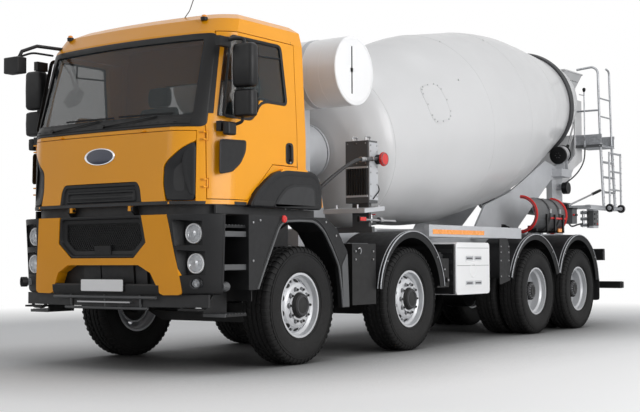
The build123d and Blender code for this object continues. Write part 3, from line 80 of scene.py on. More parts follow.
def remap(tree, value, low, high, start=0.3, end=0.7):
    """A 0 to 1 factor mapped from start..end to low..high, clamped."""
    numbers = [("From Min", start), ("From Max", end), ("To Min", low), ("To Max", high)]
    return node(tree, "MapRange", numbers, [("Value", value)]).outputs["Result"]


def blend_colours(tree, factor, first, second):
    """A mix of two colours, each an RGB triple or a socket."""
    mix = node(tree, "Mix", links=[("Factor", factor)])
    mix.data_type = "RGBA"
    for socket, colour in ((mix.inputs[6], first), (mix.inputs[7], second)):
        if isinstance(colour, tuple):
            socket.default_value = (*colour, 1)
        else:
            tree.links.new(colour, socket)
    return mix.outputs[2]


def shade(colour, factor):
    """The colour made darker or lighter by a factor."""
    return tuple(min(1.0, channel * factor) for channel in colour)


def surface(name, colour, rough, metal=0.0, coat=0.0, mottle=(2.5, 0.08), spread=0.08,
            grain=(400.0, 0.15, 0.0004), dust=0.0, stretch=None, shine=0.5):
    """A solid finish: mottled colour, uneven gloss, fine grain and some dust near the ground."""
    material, tree, principled, place = new_material(name)
    scale, amount = mottle
    clouds = noise(tree, place, scale, 4.0, stretch)
    base = blend_colours(tree, remap(tree, clouds, 0, 1), shade(colour, 1 - amount),
        shade(colour, 1 + amount))
    if dust:
        height = node(tree, "SeparateXYZ", links=[("Vector", place)])
        low = remap(tree, height.outputs["Z"], dust, 0.0, 0.1, 1.3)
        base = blend_colours(tree, low, base, (0.3, 0.28, 0.25))
    tree.links.new(base, principled.inputs["Base Color"])
    gloss = noise(tree, place, scale * 6, 5.0, stretch)
    tree.links.new(remap(tree, gloss, rough - spread / 2, rough + spread),
        principled.inputs["Roughness"])
    principled.inputs["Metallic"].default_value = metal
    principled.inputs["Coat Weight"].default_value = coat
    principled.inputs["Specular IOR Level"].default_value = shine
    principled.inputs["Coat Roughness"].default_value = 0.06
    grain_scale, strength, depth = grain
    bump = node(tree, "Bump", [("Strength", strength), ("Distance", depth)],
                [("Height", noise(tree, place, grain_scale, 2.0, stretch))])
    tree.links.new(bump.outputs["Normal"], principled.inputs["Normal"])
    return material


def clear(name, colour, alpha):
    """Thin glass that light passes straight through, with a glossy face."""
    material, tree, principled, place = new_material(name)
    streaks = noise(tree, place, 1.5, 3.0)
    base = blend_colours(tree, remap(tree, streaks, 0, 1), shade(colour, 0.9), shade(colour, 1.1))
    tree.links.new(base, principled.inputs["Base Color"])
    tree.links.new(remap(tree, streaks, 0.03, 0.06), principled.inputs["Roughness"])
    principled.inputs["Alpha"].default_value = alpha
    principled.inputs["IOR"].default_value = 1.5
    return material


ORANGE = surface("orange_paint", (0.8, 0.32, 0.002), 0.34, coat=0.22, mottle=(1.2, 0.03),
    spread=0.05, grain=(900.0, 0.05, 0.0002), shine=0.35)
PLASTIC = surface("dark_plastic", (0.009, 0.0092, 0.0102), 0.5, mottle=(3.0, 0.12),
                  grain=(1500.0, 0.35, 0.0003), dust=0.02, shine=0.3)
BLACK = surface("black_plastic", (0.006, 0.006, 0.0065), 0.45, grain=(1200.0, 0.3, 0.0003),
    dust=0.01, shine=0.3)
CHASSIS = surface("chassis_paint", (0.007, 0.007, 0.0075), 0.42, grain=(300.0, 0.25, 0.0006),
    dust=0.02, shine=0.3)
DRUM = surface("drum_paint", (0.6, 0.6, 0.605), 0.34, coat=0.25, mottle=(0.8, 0.03), spread=0.08,
               grain=(40.0, 0.08, 0.001))
SILVER = surface("silver_paint", (0.5, 0.51, 0.53), 0.4, metal=0.15, grain=(250.0, 0.12, 0.0005),
                 dust=0.08)
WHITE = surface("white_paint", (0.84, 0.84, 0.845), 0.35, coat=0.2, mottle=(1.5, 0.03), dust=0.08)
GREY = surface("grey_paint", (0.075, 0.077, 0.08), 0.45, grain=(300.0, 0.2, 0.0005))
SHELL = surface("shell_paint", (0.115, 0.117, 0.122), 0.45, grain=(300.0, 0.2, 0.0005))
SEAL = surface("grey_plastic", (0.028, 0.0285, 0.03), 0.5, grain=(1500.0, 0.35, 0.0003), shine=0.3)
IRON = surface("cast_iron", (0.055, 0.055, 0.058), 0.55, metal=0.5, grain=(180.0, 0.4, 0.001))
STEEL = surface("bare_steel", (0.42, 0.42, 0.43), 0.32, metal=1.0, grain=(90.0, 0.15, 0.0004),
                stretch=(1.0, 6.0, 6.0))
WHEEL = surface("wheel_paint", (0.6, 0.61, 0.63), 0.34, metal=0.25, coat=0.2, mottle=(9.0, 0.05),
                grain=(220.0, 0.15, 0.0004), dust=0.1)
RUBBER = surface("tyre_rubber", (0.0085, 0.0085, 0.009), 0.72, mottle=(9.0, 0.2),
    grain=(260.0, 0.4, 0.0006), dust=0.02, shine=0.25)
HOSE = surface("hose_rubber", (0.015, 0.015, 0.016), 0.5, mottle=(20.0, 0.15),
    grain=(500.0, 0.3, 0.0004))
ZINC = surface("galvanised", (0.42, 0.43, 0.45), 0.42, metal=0.7, mottle=(30.0, 0.18), spread=0.2)
FABRIC = surface("seat_fabric", (0.035, 0.036, 0.042), 0.9, mottle=(40.0, 0.25),
    grain=(900.0, 0.8, 0.001))
RED = surface("red_paint", (0.6, 0.012, 0.01), 0.35, coat=0.3)
AMBER = surface("amber_marker", (0.9, 0.3, 0.02), 0.25, coat=0.5)
GLASS = clear("cab_glass", (0.03, 0.04, 0.042), 0.42)
LENS = clear("lamp_lens", (0.85, 0.87, 0.9), 0.35)
CHROME = surface("chrome", (0.75, 0.76, 0.78), 0.1, metal=1.0, mottle=(6.0, 0.03), spread=0.04)

FINISHES = {"cab_paint": ORANGE, "cab_trim": PLASTIC, "chassis_black": CHASSIS, "drum_paint": DRUM,
    "silver_paint": SILVER, "white_paint": WHITE, "dark_grey_paint": GREY, "cast_iron": IRON,
    "roller_steel": STEEL, "wheel_silver": WHEEL, "tyre": RUBBER, "glass": GLASS,
    "lamp_glass": LENS, "seat_fabric": FABRIC, "galvanised": ZINC, "hose_rubber": HOSE}
SLOT_OF = {part["node"]: part["material_slot"] for part in frame["record"]["subparts"]}


def shade_smooth(mesh, angle):
    """Smooth shading, broken at edges sharper than the angle in degrees."""
    mesh.polygons.foreach_set("use_smooth", [True] * len(mesh.polygons))
    mesh.set_sharp_from_angle(angle=radians(angle))


def dress_node(name, material):
    """Give a CAD node its finish."""
    part = NODES[name]
    part.data.materials.clear()
    part.data.materials.append(material)
    shade_smooth(part.data, 32)


def soften(piece, width, segments=2):
    """Round the sharp edges of a piece."""
    rounding = piece.modifiers.new("soft_edges", "BEVEL")
    rounding.width = width
    rounding.segments = segments
    rounding.limit_method = "ANGLE"
    rounding.angle_limit = radians(40)
    rounding.harden_normals = True
    rounding.miter_outer = "MITER_ARC"


for node_name in NODES:
    dress_node(node_name, FINISHES[SLOT_OF[node_name]])

# ---------------------------------------------------------------- building shapes
FRONT_AXLE = -3.44
AXLES = (-3.44, -1.48, 1.73, 3.08)
TILT = radians(10.8)
AXLE_HEIGHT = 0.54
STEERED_AT, TWINS_AT = (1.011,), (0.977, 0.637)  # tyres, sideways
TRACK_AT = 7.32              # the track ring, along the drum
HALVINGS = 24                 # how finely a place on a curve is looked for
UP = Vector((0, 0, 1))
DRUM_AXIS = Vector((0, cos(TILT), sin(TILT)))


def at(x, y, z):
    """A point that is given by its distance behind the front axle."""
    return Vector((x, y + FRONT_AXLE, z))


def on_drum(along):
    """The point of the drum's axis at a distance from where it passes over the front axle."""
    return Vector((0, FRONT_AXLE, 1.812)) + DRUM_AXIS * along


class Shape:
    """Collects solids into one mesh; each keeps the finish it is made with."""

    def __init__(self, name):
        self.name, self.mesh, self.finishes = name, bmesh.new(), []

    def skin(self, points, faces, finish):
        """Faces over points, given by the points' places in the list."""
        if finish not in self.finishes:
            self.finishes.append(finish)
        corners = [self.mesh.verts.new(point) for point in points]
        for face in faces:
            made = self.mesh.faces.new([corners[place] for place in face])
            made.material_index = self.finishes.index(finish)

    def cap(self, ring, finish):
        """One face over a ring of points."""
        self.skin(ring, [tuple(range(len(ring)))], finish)

    def box(self, low, high, finish):
        """A box between two opposite corners."""
        (x0, x1), (y0, y1), (z0, z1) = (sorted(pair) for pair in zip(low, high))
        self.prism([Vector((x0, y0, z0)), Vector((x1, y0, z0)), Vector((x1, y1, z0)),
            Vector((x0, y1, z0))], (0, 0, z1 - z0), finish)

    def boxes(self, finish, *rows):
        """Boxes of one finish: each row holds two corners, as at() counts them."""
        for row in rows:
            self.box(at(*row[:3]), at(*row[3:]), finish)

    def rods(self, radius, finish, segments, *rows):
        """Round bars of one size: each row holds two ends, as at() counts them."""
        for row in rows:
            self.rod(at(*row[:3]), at(*row[3:]), radius, finish, segments)

    def steps(self, surface_at, outline, steps, finish, closing=None):
        """Rings on a surface, by inset and height over it; a finish may close the last."""
        rings = [[surface_at(p.x, p.y, out) for p in offset(outline, inset)]
            for inset, out in steps]
        self.rings(rings, finish, caps=False)
        if closing:
            self.cap(rings[-1], closing)

    def prism(self, outline, push, finish, shrink=0.0):
        """A flat outline pushed into a solid; the far face may be smaller by a share."""
        count, push = len(outline), Vector(push)
        middle = sum(outline, Vector()) / count
        far = [point.lerp(middle, shrink) + push for point in outline]
        faces = [list(range(count)), list(range(2 * count - 1, count - 1, -1))]
        faces += [(k, (k + 1) % count, (k + 1) % count + count, k + count) for k in range(count)]
        self.skin(list(outline) + far, faces, finish)

    def rings(self, rings, finish, caps=True):
        """A skin through rings of equally many points."""
        count = len(rings[0])
        faces = []
        for row in range(len(rings) - 1):
            for k in range(count):
                after = (k + 1) % count
                faces.append((row * count + k, row * count + after,
                              (row + 1) * count + after, (row + 1) * count + k))
        if caps:
            faces.append(tuple(range(count)))
            faces.append(tuple(range(len(rings) * count - 1, (len(rings) - 1) * count - 1, -1)))
        self.skin([point for ring in rings for point in ring], faces, finish)

    def revolve(self, origin, axis, profile, finish, segments=48, caps=True):
        """A turned solid; the profile lists distance along the axis and radius."""
        origin, axis = Vector(origin), Vector(axis).normalized()
        across = axis.orthogonal().normalized()
        beside = axis.cross(across)
        ring = [across * cos(2 * pi * k / segments) + beside * sin(2 * pi * k / segments)
                for k in range(segments)]
        self.rings([[origin + axis * along + spoke * max(radius, 0.0004) for spoke in ring]
                    for along, radius in profile], finish, caps=caps)

    def rod(self, start, end, radius, finish, segments=20, end_radius=None):
        """A round bar, or a cone, between two points."""
        start, end = Vector(start), Vector(end)
        self.revolve(start, end - start, ((0, radius),
            ((end - start).length, end_radius or radius)), finish, segments)

    def tube(self, points, radius, finish, segments=12, bend=0.06):
        """A round bar along points, with its corners rounded."""
        path = rounded([Vector(point) for point in points], bend)
        heading = (path[1] - path[0]).normalized()
        across = heading.orthogonal().normalized()
        rings = []
        for k, point in enumerate(path):
            before, after = path[max(k - 1, 0)], path[min(k + 1, len(path) - 1)]
            heading = (after - before).normalized()
            across = (across - heading * across.dot(heading)).normalized()
            beside = heading.cross(across)
            rings.append([point + (across * cos(2 * pi * j / segments)
                                   + beside * sin(2 * pi * j / segments)) * radius
                          for j in range(segments)])
        self.rings(rings, finish)

    def sheet(self, rows, finish, depth):
        """A curved plate under rows of points, thickened by the vector depth."""
        depth = Vector(depth)
        rims, inner = len(rows), len(rows[0])
        count = rims * inner
        points = [point for row in rows for point in row]
        faces = []
        for row in range(rims - 1):
            for k in range(inner - 1):
                quad = (row * inner + k, row * inner + k + 1, (row + 1) * inner + k + 1,
                        (row + 1) * inner + k)
                faces += [quad, tuple(corner + count for corner in reversed(quad))]
        border = ([k for k in range(inner)] + [row * inner + inner - 1 for row in range(1, rims)]
                  + [(rims - 1) * inner + k for k in range(inner - 2, -1, -1)]
                  + [row * inner for row in range(rims - 2, 0, -1)])
        for first, second in zip(border, border[1:] + border[:1]):
            faces.append((first, second, second + count, first + count))
        self.skin(points + [point + depth for point in points], faces, finish)

    def mirror(self):
        """Everything so far once more on the other side of the truck."""
        every = self.mesh.verts[:] + self.mesh.edges[:] + self.mesh.faces[:]
        copy = bmesh.ops.duplicate(self.mesh, geom=every)["geom"]
        for item in copy:
            if isinstance(item, bmesh.types.BMVert):
                item.co.x = -item.co.x

    def place(self, body, slot, replaces=(), bevel=0.0, angle=32, cutters=(), segments=2):
        """Finish the mesh as a piece that rides on a body."""
        bmesh.ops.recalc_face_normals(self.mesh, faces=self.mesh.faces)
        mesh = bpy.data.meshes.new(self.name)
        self.mesh.to_mesh(mesh)
        self.mesh.free()
        for finish in self.finishes:
            mesh.materials.append(finish)
        piece = bpy.data.objects.new(self.name, mesh)
        bpy.context.scene.collection.objects.link(piece)
        for cutter in cutters:
            carve(piece, cutter)
        shade_smooth(piece.data, angle)
        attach(piece, body)
        if replaces:
            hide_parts(*replaces)
        if bevel:
            soften(piece, bevel, segments)
        return piece


def turns(count, axis="X", start=0.0):
    """Rotations that share out a full turn."""
    return [Matrix.Rotation(2 * pi * (k + start) / count, 4, axis) for k in range(count)]


def carve(piece, cutter):
    """Cut a shape out of a piece; the cut faces take the cutter's first finish."""
    bmesh.ops.recalc_face_normals(cutter.mesh, faces=cutter.mesh.faces)
    mesh = bpy.data.meshes.new("cutter")
    cutter.mesh.to_mesh(mesh)
    for finish in cutter.finishes:
        mesh.materials.append(finish)
    tool = bpy.data.objects.new("cutter", mesh)
    bpy.context.scene.collection.objects.link(tool)
    cut = piece.modifiers.new("cut", "BOOLEAN")
    cut.operation, cut.solver, cut.object = "DIFFERENCE", "EXACT", tool
    cut.material_mode = "TRANSFER"
    bpy.context.view_layer.update()
    graph = bpy.context.evaluated_depsgraph_get()
    shaped = bpy.data.meshes.new_from_object(piece.evaluated_get(graph))
    piece.modifiers.remove(cut)
    piece.data = shaped
    bpy.data.objects.remove(tool)


def rounded(path, bend):
    """A path whose corners are replaced by short curves."""
    points = [path[0]]
    for before, corner, after in zip(path, path[1:], path[2:]):
        reach = min(bend, (corner - before).length * 0.45, (after - corner).length * 0.45)
        start = corner + (before - corner).normalized() * reach
        end = corner + (after - corner).normalized() * reach
        for step in range(6):
            share = step / 5
            points.append(start.lerp(corner, share).lerp(corner.lerp(end, share), share))
    return points + [path[-1]]


def smooth_between(stations, steps):
    """Points of a smooth curve without overshoot through stations of place and value."""
    places = [place for place, value in stations]
    values = [value for place, value in stations]
    slopes = [(b - a) / (q - p) for p, q, a, b in zip(places, places[1:], values, values[1:])]
    tangents = [slopes[0]]
    for before, after in zip(slopes, slopes[1:]):
        tangents.append(0.0 if before * after <= 0 else 2 * before * after / (before + after))
    tangents.append(slopes[-1])
    curve = []
    for k in range(len(slopes)):
        run = places[k + 1] - places[k]
        for step in range(steps):
            t = step / steps
            start = (2 * t ** 3 - 3 * t ** 2 + 1) * values[k]
            leaving = (t ** 3 - 2 * t ** 2 + t) * run * tangents[k]
            end = (3 * t ** 2 - 2 * t ** 3) * values[k + 1]
            reaching = (t ** 3 - t ** 2) * run * tangents[k + 1]
            curve.append((places[k] + run * t, start + leaving + end + reaching))
    return curve + [(places[-1], values[-1])]


def arc_through(first, middle, last, share):
    """A point of the curve through three points, at a share of the way."""
    return (first * ((1 - share) * (1 - 2 * share)) + middle * (4 * share * (1 - share))
            + last * (share * (2 * share - 1)))


def curve_y(first, middle, last, across):
    """The second coordinate where the curve through three points reaches a first one."""
    low, high = 0.0, 1.0
    for _ in range(HALVINGS):
        share = (low + high) / 2
        point = arc_through(first, middle, last, share)
        low, high = (share, high) if point.x < across else (low, share)
    return point.y


# ---------------------------------------------------------------- cab surface
# columns: z, half width, y where the side ends, corner x and y, front y in the middle
CAB = ((1.43, 1.15, -0.96, 0.79, -1.4, -1.43), (2.07, 1.15, -0.95, 0.79, -1.38, -1.41),
    (2.93, 1.11, -0.87, 0.82, -1.075, -1.14), (3.06, 1.075, -0.8, 0.78, -0.975, -1.03),
    (3.13, 0.96, -0.68, 0.68, -0.83, -0.88))


def cab_section(z):
    """Half width, side end, corner x and y and front y of the cab at a height."""
    for low, high in zip(CAB, CAB[1:]):
        if z <= high[0] or high is CAB[-1]:
            share = (z - low[0]) / (high[0] - low[0])
            return [a + (b - a) * share for a, b in zip(low[1:], high[1:])]


def cab_front(x, z, out=0.0):
    """The point of the cab's front or corner skin at a sideways place and height."""
    half, side_y, corner_x, corner_y, front_y = cab_section(z)
    across = abs(x)
    if across <= corner_x:
        y = front_y + (corner_y - front_y) * (across / corner_x) ** 2
    else:
        middle = Vector(((half + corner_x) / 2, (side_y + corner_y) / 2))
        bulge = middle + (Vector((half, corner_y)) - middle) * 0.26
        y = curve_y(Vector((corner_x, corner_y)), bulge, Vector((half, side_y)), across)
    return at(x, y - out, z)


def rounded_outline(points, bend, steps=4):
    """A closed outline of 2-D or 3-D points with its corners rounded."""
    count = len(points)
    shaped = []
    for k, corner in enumerate(points):
        before, after = points[k - 1], points[(k + 1) % count]
        corner, before, after = Vector(corner), Vector(before), Vector(after)
        reach = min(bend, (corner - before).length * 0.45, (after - corner).length * 0.45)
        start = corner + (before - corner).normalized() * reach
        end = corner + (after - corner).normalized() * reach
        for step in range(steps + 1):
            share = step / steps
            shaped.append(start.lerp(corner, share).lerp(corner.lerp(end, share), share))
    return shaped


def rounded_box(x0, y0, x1, y1, bend, steps=4):
    """The outline of a rectangle with its corners rounded."""
    return rounded_outline(((x0, y0), (x1, y0), (x1, y1), (x0, y1)), bend, steps)


def offset(points, width):
    """A closed 2-D outline moved inwards by a width (outwards if negative)."""
    count = len(points)
    area = sum(points[k - 1][0] * points[k][1] - points[k][0] * points[k - 1][1]
        for k in range(count))
    turn = 1 if area > 0 else -1
    moved = []
    for k in range(count):
        before = (Vector(points[k]) - Vector(points[k - 1])).normalized()
        after = (Vector(points[(k + 1) % count]) - Vector(points[k])).normalized()
        first, second = Vector((-before.y, before.x)) * turn, Vector((-after.y, after.x)) * turn
        along = first + second
        along = along / max(along.length_squared / 2, 0.35)
        moved.append(Vector(points[k]) + along * width)
    return moved


# ---------------------------------------------------------------- wheels
LUGS = 54                     # on each shoulder of a tyre
# half of a tyre's section from the bead to the tread: sideways place and radius
TYRE_SIDE = ((0.108, 0.2875), (0.132, 0.3), (0.146, 0.33), (0.1545, 0.385), (0.1552, 0.43),
    (0.151, 0.47), (0.143, 0.5), (0.132, 0.519), (0.12, 0.527))
TYRE_RIBS = ((0.086, 0.53), (0.082, 0.52), (0.074, 0.52), (0.07, 0.53), (0.034, 0.532),
    (0.03, 0.52), (0.022, 0.52), (0.018, 0.532))


def add_tyre(shape, centre, outward):
    """A truck tyre with ribs, shoulder lugs and rings on its sidewalls."""
    half = TYRE_SIDE + TYRE_RIBS
    profile = [(-x, r) for x, r in half] + [(x, r) for x, r in reversed(half)]
    shape.revolve(centre, (outward, 0, 0), profile + [(0.098, 0.2875), (-0.098, 0.2875),
        profile[0]], RUBBER, 96, caps=False)
    for face in (1, -1):
        for radius, width in ((0.318, 0.004), (0.462, 0.003), (0.486, 0.003)):
            foot, top = (0.127, 0.1448) if radius < 0.4 else (0.139, 0.1555)
            ring = ((foot, radius - width), (top, radius - width / 2), (top, radius + width / 2),
                (foot, radius + width))
            shape.revolve(centre, (outward * face, 0, 0), ring, RUBBER, 72, caps=False)
    for spin in turns(LUGS):
        for face in (1, -1):
            outline = [Vector((face * x, -0.011, r)) for x, r in ((0.09, 0.522), (0.09, 0.5392),
                (0.118, 0.5385), (0.136, 0.527), (0.148, 0.503), (0.15, 0.488), (0.136, 0.5))]
            shape.prism([Vector(centre) + spin @ point for point in outline],
                        spin @ Vector((0, 0.022, 0)), RUBBER)
            low, high = sorted((face * 0.038, face * 0.068))
            lean = 0.006 * face
            block = [Vector((low, -0.012 - lean, 0.528)), Vector((high, -0.012 + lean, 0.528)),
                     Vector((high, 0.012 + lean, 0.528)), Vector((low, 0.012 - lean, 0.528))]
            shape.prism([Vector(centre) + spin @ point for point in block],
                        spin @ Vector((0, 0, 0.0118)), RUBBER)


# Near-black finish for the hub covers and stud ends, and painted shade in the wheel discs' hand
# holes.
HUB_DARK_AND_HOLE_SHADE = surface("hub_dark_and_hole_shade", (0.006, 0.006, 0.006), 0.6, grain=(300.0, 0.2, 0.0005))
HUB_OUT = 0.049               # how far the cover stands out of a steered wheel's disc
for number, axle in enumerate(AXLES, 1):
    for side_name, side in SIDES:
        tyre = Shape(f"tread_{number}_{side_name}")
        places = STEERED_AT if number <= 2 else TWINS_AT
        for place in places:
            add_tyre(tyre, (side * place, axle, AXLE_HEIGHT), side)
        tyre.place(f"wheel_{number}_{side_name}", "tyre", (f"tyre_{number}_{side_name}",), angle=38)

        hub = Shape(f"hub_{number}_{side_name}")
        face = side * (STEERED_AT[0] + 0.106 if number <= 2 else TWINS_AT[0] - 0.15)
        out = Vector((side, 0, 0))
        centre = Vector((face, axle, AXLE_HEIGHT))
        if number <= 2:
            hub.revolve(centre, out, ((0.0, 0.142), (0.008, 0.142), (0.013, 0.138), (0.013, 0.122),
                                      (0.006, 0.116)), WHEEL, 48, caps=False)
            hub.revolve(centre, out, ((0.006, 0.117), (HUB_OUT - 0.004, 0.104), (HUB_OUT, 0.09),
                (HUB_OUT, 0.0)), HUB_DARK_AND_HOLE_SHADE, 40, caps=False)
            hub.revolve(centre, out, ((HUB_OUT - 0.002, 0.096), (HUB_OUT + 0.006, 0.092),
                (HUB_OUT + 0.006, 0.076), (HUB_OUT, 0.072)), IRON, 40, caps=False)
            # The ten hand holes in the disc are flat near-black caps: painted shade standing in for
            # the holes' dark depth.
            for turn in turns(10):
                hole = []
                for a in range(20):
                    arc = 2 * pi * a / 20
                    reach = 0.224 + 0.016 * sin(arc)
                    sunk = 0.0025 - 0.01 - 1.04 * (reach - 0.202)
                    hole.append(centre + turn @ Vector((side * sunk, 0.032 * cos(arc), reach)))
                hub.cap(hole, HUB_DARK_AND_HOLE_SHADE)
            bolts, reach, nut = 10, 0.15, 0.017
        else:
            middle = Vector((side * TWINS_AT[0], axle, AXLE_HEIGHT))
            hub.revolve(middle, out, ((-0.042, 0.153), (-0.018, 0.108), (0.06, 0.103),
                (0.076, 0.082), (0.079, 0.07), (0.079, 0.0)), IRON, 48, caps=False)
            hub.revolve(middle, out, ((0.076, 0.06), (0.086, 0.056), (0.086, 0.03), (0.08, 0.0)),
                CHASSIS, 32, caps=False)
            for turn in turns(16):
                tooth = middle + turn @ Vector((side * 0.004, 0, 0.106))
                hub.rod(tooth, tooth + out * 0.058, 0.01, CHASSIS, 6)
                cap = middle + turn @ Vector((side * 0.07, 0, 0.086))
                hub.rod(cap, cap + out * 0.012, 0.006, STEEL, 6)
            bolts, reach, nut = 10, 0.1775, 0.018
        for turn in turns(bolts, start=0.5):
            foot = centre + turn @ Vector((0, 0, reach)) - out * 0.002
            hub.rod(foot, foot + out * 0.004, 0.025, GREY, 18)
            hub.rod(foot, foot + out * 0.026, nut, STEEL, 6)
            hub.rod(foot + out * 0.026, foot + out * 0.036, 0.011, HUB_DARK_AND_HOLE_SHADE, 10)
        valve = Matrix.Rotation(2 * pi * 0.33, 4, "X") @ Vector((0, 0, 0.236)) - out * 0.045
        hub.rod(centre + valve - out * 0.02, centre + valve + out * 0.03 + valve * 0.03, 0.004,
            STEEL, 8)
        hub.place(f"wheel_{number}_{side_name}", "wheel_silver", angle=30)

# ---------------------------------------------------------------- drum
DRUM_STATIONS = ((1.75, 0.35), (1.8, 0.56), (1.9, 0.745), (2.1, 0.918), (3.0, 1.03), (3.5, 1.122),
    (3.99, 1.168), (5.08, 1.158), (5.65, 1.108), (6.25, 0.985), (7.9, 0.6))
drum = Shape("drum_skin")
shell = smooth_between(DRUM_STATIONS, 8)
inside = [(along + (0.008 if along < 2.1 else 0), radius - 0.008)
    for along, radius in reversed(shell)]


def turned(profile, finish=DRUM, middle=0.0):
    """A part that is turned round the drum's axis."""
    drum.revolve(on_drum(middle), DRUM_AXIS, profile, finish, 128, caps=False)


turned(shell + [point for point in inside if point[0] > 1.77] + [(1.765, 0.0)])
turned(((1.75, 0.35), (1.75, 0.0)))


def drum_radius(along):
    """The drum's outside radius at a distance along its axis."""
    for (start, low), (end, high) in zip(shell, shell[1:]):
        if along <= end:
            return low + (high - low) * (along - start) / (end - start)
    return shell[-1][1]


for seam in (2.1, 3.99, 5.08, 6.25):
    lift = drum_radius(seam)
    turned(((seam - 0.007, lift - 0.004), (seam - 0.003, lift + 0.0022),
        (seam + 0.003, lift + 0.0022), (seam + 0.007, lift - 0.004)))
rim_r = drum_radius(7.86)
turned(((7.85, rim_r - 0.005), (7.856, rim_r + 0.006), (7.896, rim_r + 0.004),
    (7.899, rim_r - 0.012)))
# track ring on its spacers
turned(((-0.05, 0.722), (-0.05, 0.772), (-0.044, 0.7795), (0.044, 0.7795), (0.05, 0.772),
    (0.05, 0.722), (-0.05, 0.722)), IRON, TRACK_AT)
turned(((-0.072, drum_radius(7.248) - 0.004), (-0.072, 0.736), (-0.05, 0.738), (0.05, 0.738),
    (0.066, 0.734), (0.066, drum_radius(7.386) - 0.004)), CHASSIS, TRACK_AT)
drum_side = Vector((1, 0, 0))
drum_rise = DRUM_AXIS.cross(drum_side).normalized() * -1


def on_skin(along, around, lift=0.0):
    """A point of the drum's skin: along its axis, and round it from the left side upwards."""
    turn = radians(around)
    out = drum_side * cos(turn) + drum_rise * sin(turn)
    return on_drum(along) + out * (drum_radius(along) + lift), out


def hatch(along, around, half_long, half_round):
    """A bolted oval cover on the drum's skin."""
    rim = [[abs(share) ** 0.55 * (1 if share > 0 else -1) for share in (cos(turn), sin(turn))]
           for turn in [2 * pi * k / 64 for k in range(64)]]
    rings = []
    for share, lift in ((1.0, 0.0), (1.0, 0.004), (0.985, 0.0055), (0.88, 0.0055), (0.87, 0.003),
            (0.5, 0.003)):
        rings.append([on_skin(along + half_long * share * x, around + half_round * share * y,
            lift)[0] for x, y in rim])
    drum.rings(rings, DRUM, caps=False)
    middle = [on_skin(along, around, 0.003)[0]] * len(rim)
    drum.rings([rings[-1], middle], DRUM, caps=False)
    for k in range(0, 64, 4):
        foot, out = on_skin(along + half_long * 0.93 * rim[k][0],
            around + half_round * 0.93 * rim[k][1], 0.004)
        drum.rod(foot, foot + out * 0.008, 0.0085, STEEL, 6)


hatch(3.0, 20.0, 0.19, 13.5)
for along, around in ((3.99, 62), (5.08, 60), (3.55, 30)):
    foot, out = on_skin(along, around, 0.0)
    drum.rod(foot, foot + out * 0.012, 0.012, DRUM, 10)
bmesh.ops.remove_doubles(drum.mesh, verts=drum.mesh.verts, dist=0.00005)
drum.place("drum", "drum_paint", ("drum",), angle=24)

# ---------------------------------------------------------------- front flap with its grille
# Near-black finish for dark trim, and painted shade on the sheets that close grille openings,
# recesses and the gap under the cab.
DARK_TRIM_AND_SHADE = surface("dark_trim_and_painted_shade", (0.008, 0.008, 0.009), 0.55, grain=(900.0, 0.3, 0.0003))
NAVY = surface("badge_face", (0.01, 0.016, 0.045), 0.22, coat=0.6, mottle=(30.0, 0.08))
GRILLE_TOP = ((-0.44, 1.632), (0.44, 1.632), (0.478, 1.575), (0.505, 1.4), (-0.505, 1.4),
    (-0.478, 1.575))
# the corner deflector's outline: x and z
DEFLECTOR = ((0.99, 1.975), (0.88, 1.906), (0.79, 1.822), (0.728, 1.762), (0.722, 1.6),
    (0.757, 1.44), (0.77, 1.4), (1.02, 1.4), (1.02, 1.99))


def grid_between(low_x, high_x, low_z, high_z, across, up):
    """Rows of points over the cab's front skin."""
    return [[cab_front(low_x + (high_x - low_x) * k / across, low_z + (high_z - low_z) * row / up)
             for k in range(across + 1)] for row in range(up + 1)]


def cut_through(outline):
    """A tool that cuts an outline of x and z straight through from the front."""
    tool = Shape("tool")
    tool.prism([at(x, -1.52, z) for x, z in outline], (0, 0.42, 0), ORANGE)
    return tool


flap = Shape("flap_skin")
flap.sheet(grid_between(-0.975, 0.975, 1.455, 2.045, 72, 14), ORANGE, (0, 0.034, 0))
tools = [cut_through(rounded_outline(GRILLE_TOP, 0.03))]
tools += [cut_through(rounded_outline([(side * x, z) for x, z in DEFLECTOR], 0.05))
          for side in (1, -1)]
flap.place("front_flap", "cab_paint", ("front_flap",), bevel=0.007, cutters=tools, angle=25)

grille = Shape("flap_grille")


def stepped_frame(shape, outline, steps, finish, surface_at, bend=0.025):
    """Frames inside each other; steps list the inset and the depth behind the skin."""
    rings = [[surface_at(point.x, point.y, -depth) for point in
              rounded_outline(offset(outline, inset), bend)] for inset, depth in steps]
    shape.rings(rings, finish, caps=False)
    return rings[-1]


def flap_at(x, z, out):
    """The flap's skin, with its lower edge kept above the bumper."""
    return cab_front(x, max(z, 1.457), out)


last = stepped_frame(grille, GRILLE_TOP, ((-0.001, 0.028), (-0.001, 0.006), (0.006, 0.0),
    (0.03, 0.001), (0.04, 0.014), (0.062, 0.016), (0.07, 0.006), (0.084, 0.006), (0.09, 0.02),
    (0.1, 0.022)), PLASTIC, flap_at)
# The grille's back is closed by a flat near-black face: painted shade behind the grille.
grille.cap(last, DARK_TRIM_AND_SHADE)
for level in (1.478, 1.5, 1.522):
    bar = [cab_front(-0.37 + 0.74 * k / 12, level, -0.02) for k in range(13)]
    grille.sheet([bar, [point + Vector((0, 0.0, 0.007)) for point in bar]], PLASTIC, (0, 0.01, 0))


def oval(share, out):
    """A ring round the middle of the badge."""
    return [cab_front(0.185 * share * cos(2 * pi * k / 64),
        1.865 + 0.075 * share * sin(2 * pi * k / 64), out) for k in range(64)]


grille.rings([oval(*row) for row in ((1.0, -0.004), (1.0, 0.006), (0.97, 0.009), (0.9, 0.009),
    (0.87, 0.005))], CHROME, caps=False)
grille.rings([oval(0.88, 0.005), oval(0.5, 0.0095), [cab_front(0, 1.865, 0.0105)] * 64], NAVY,
    caps=False)


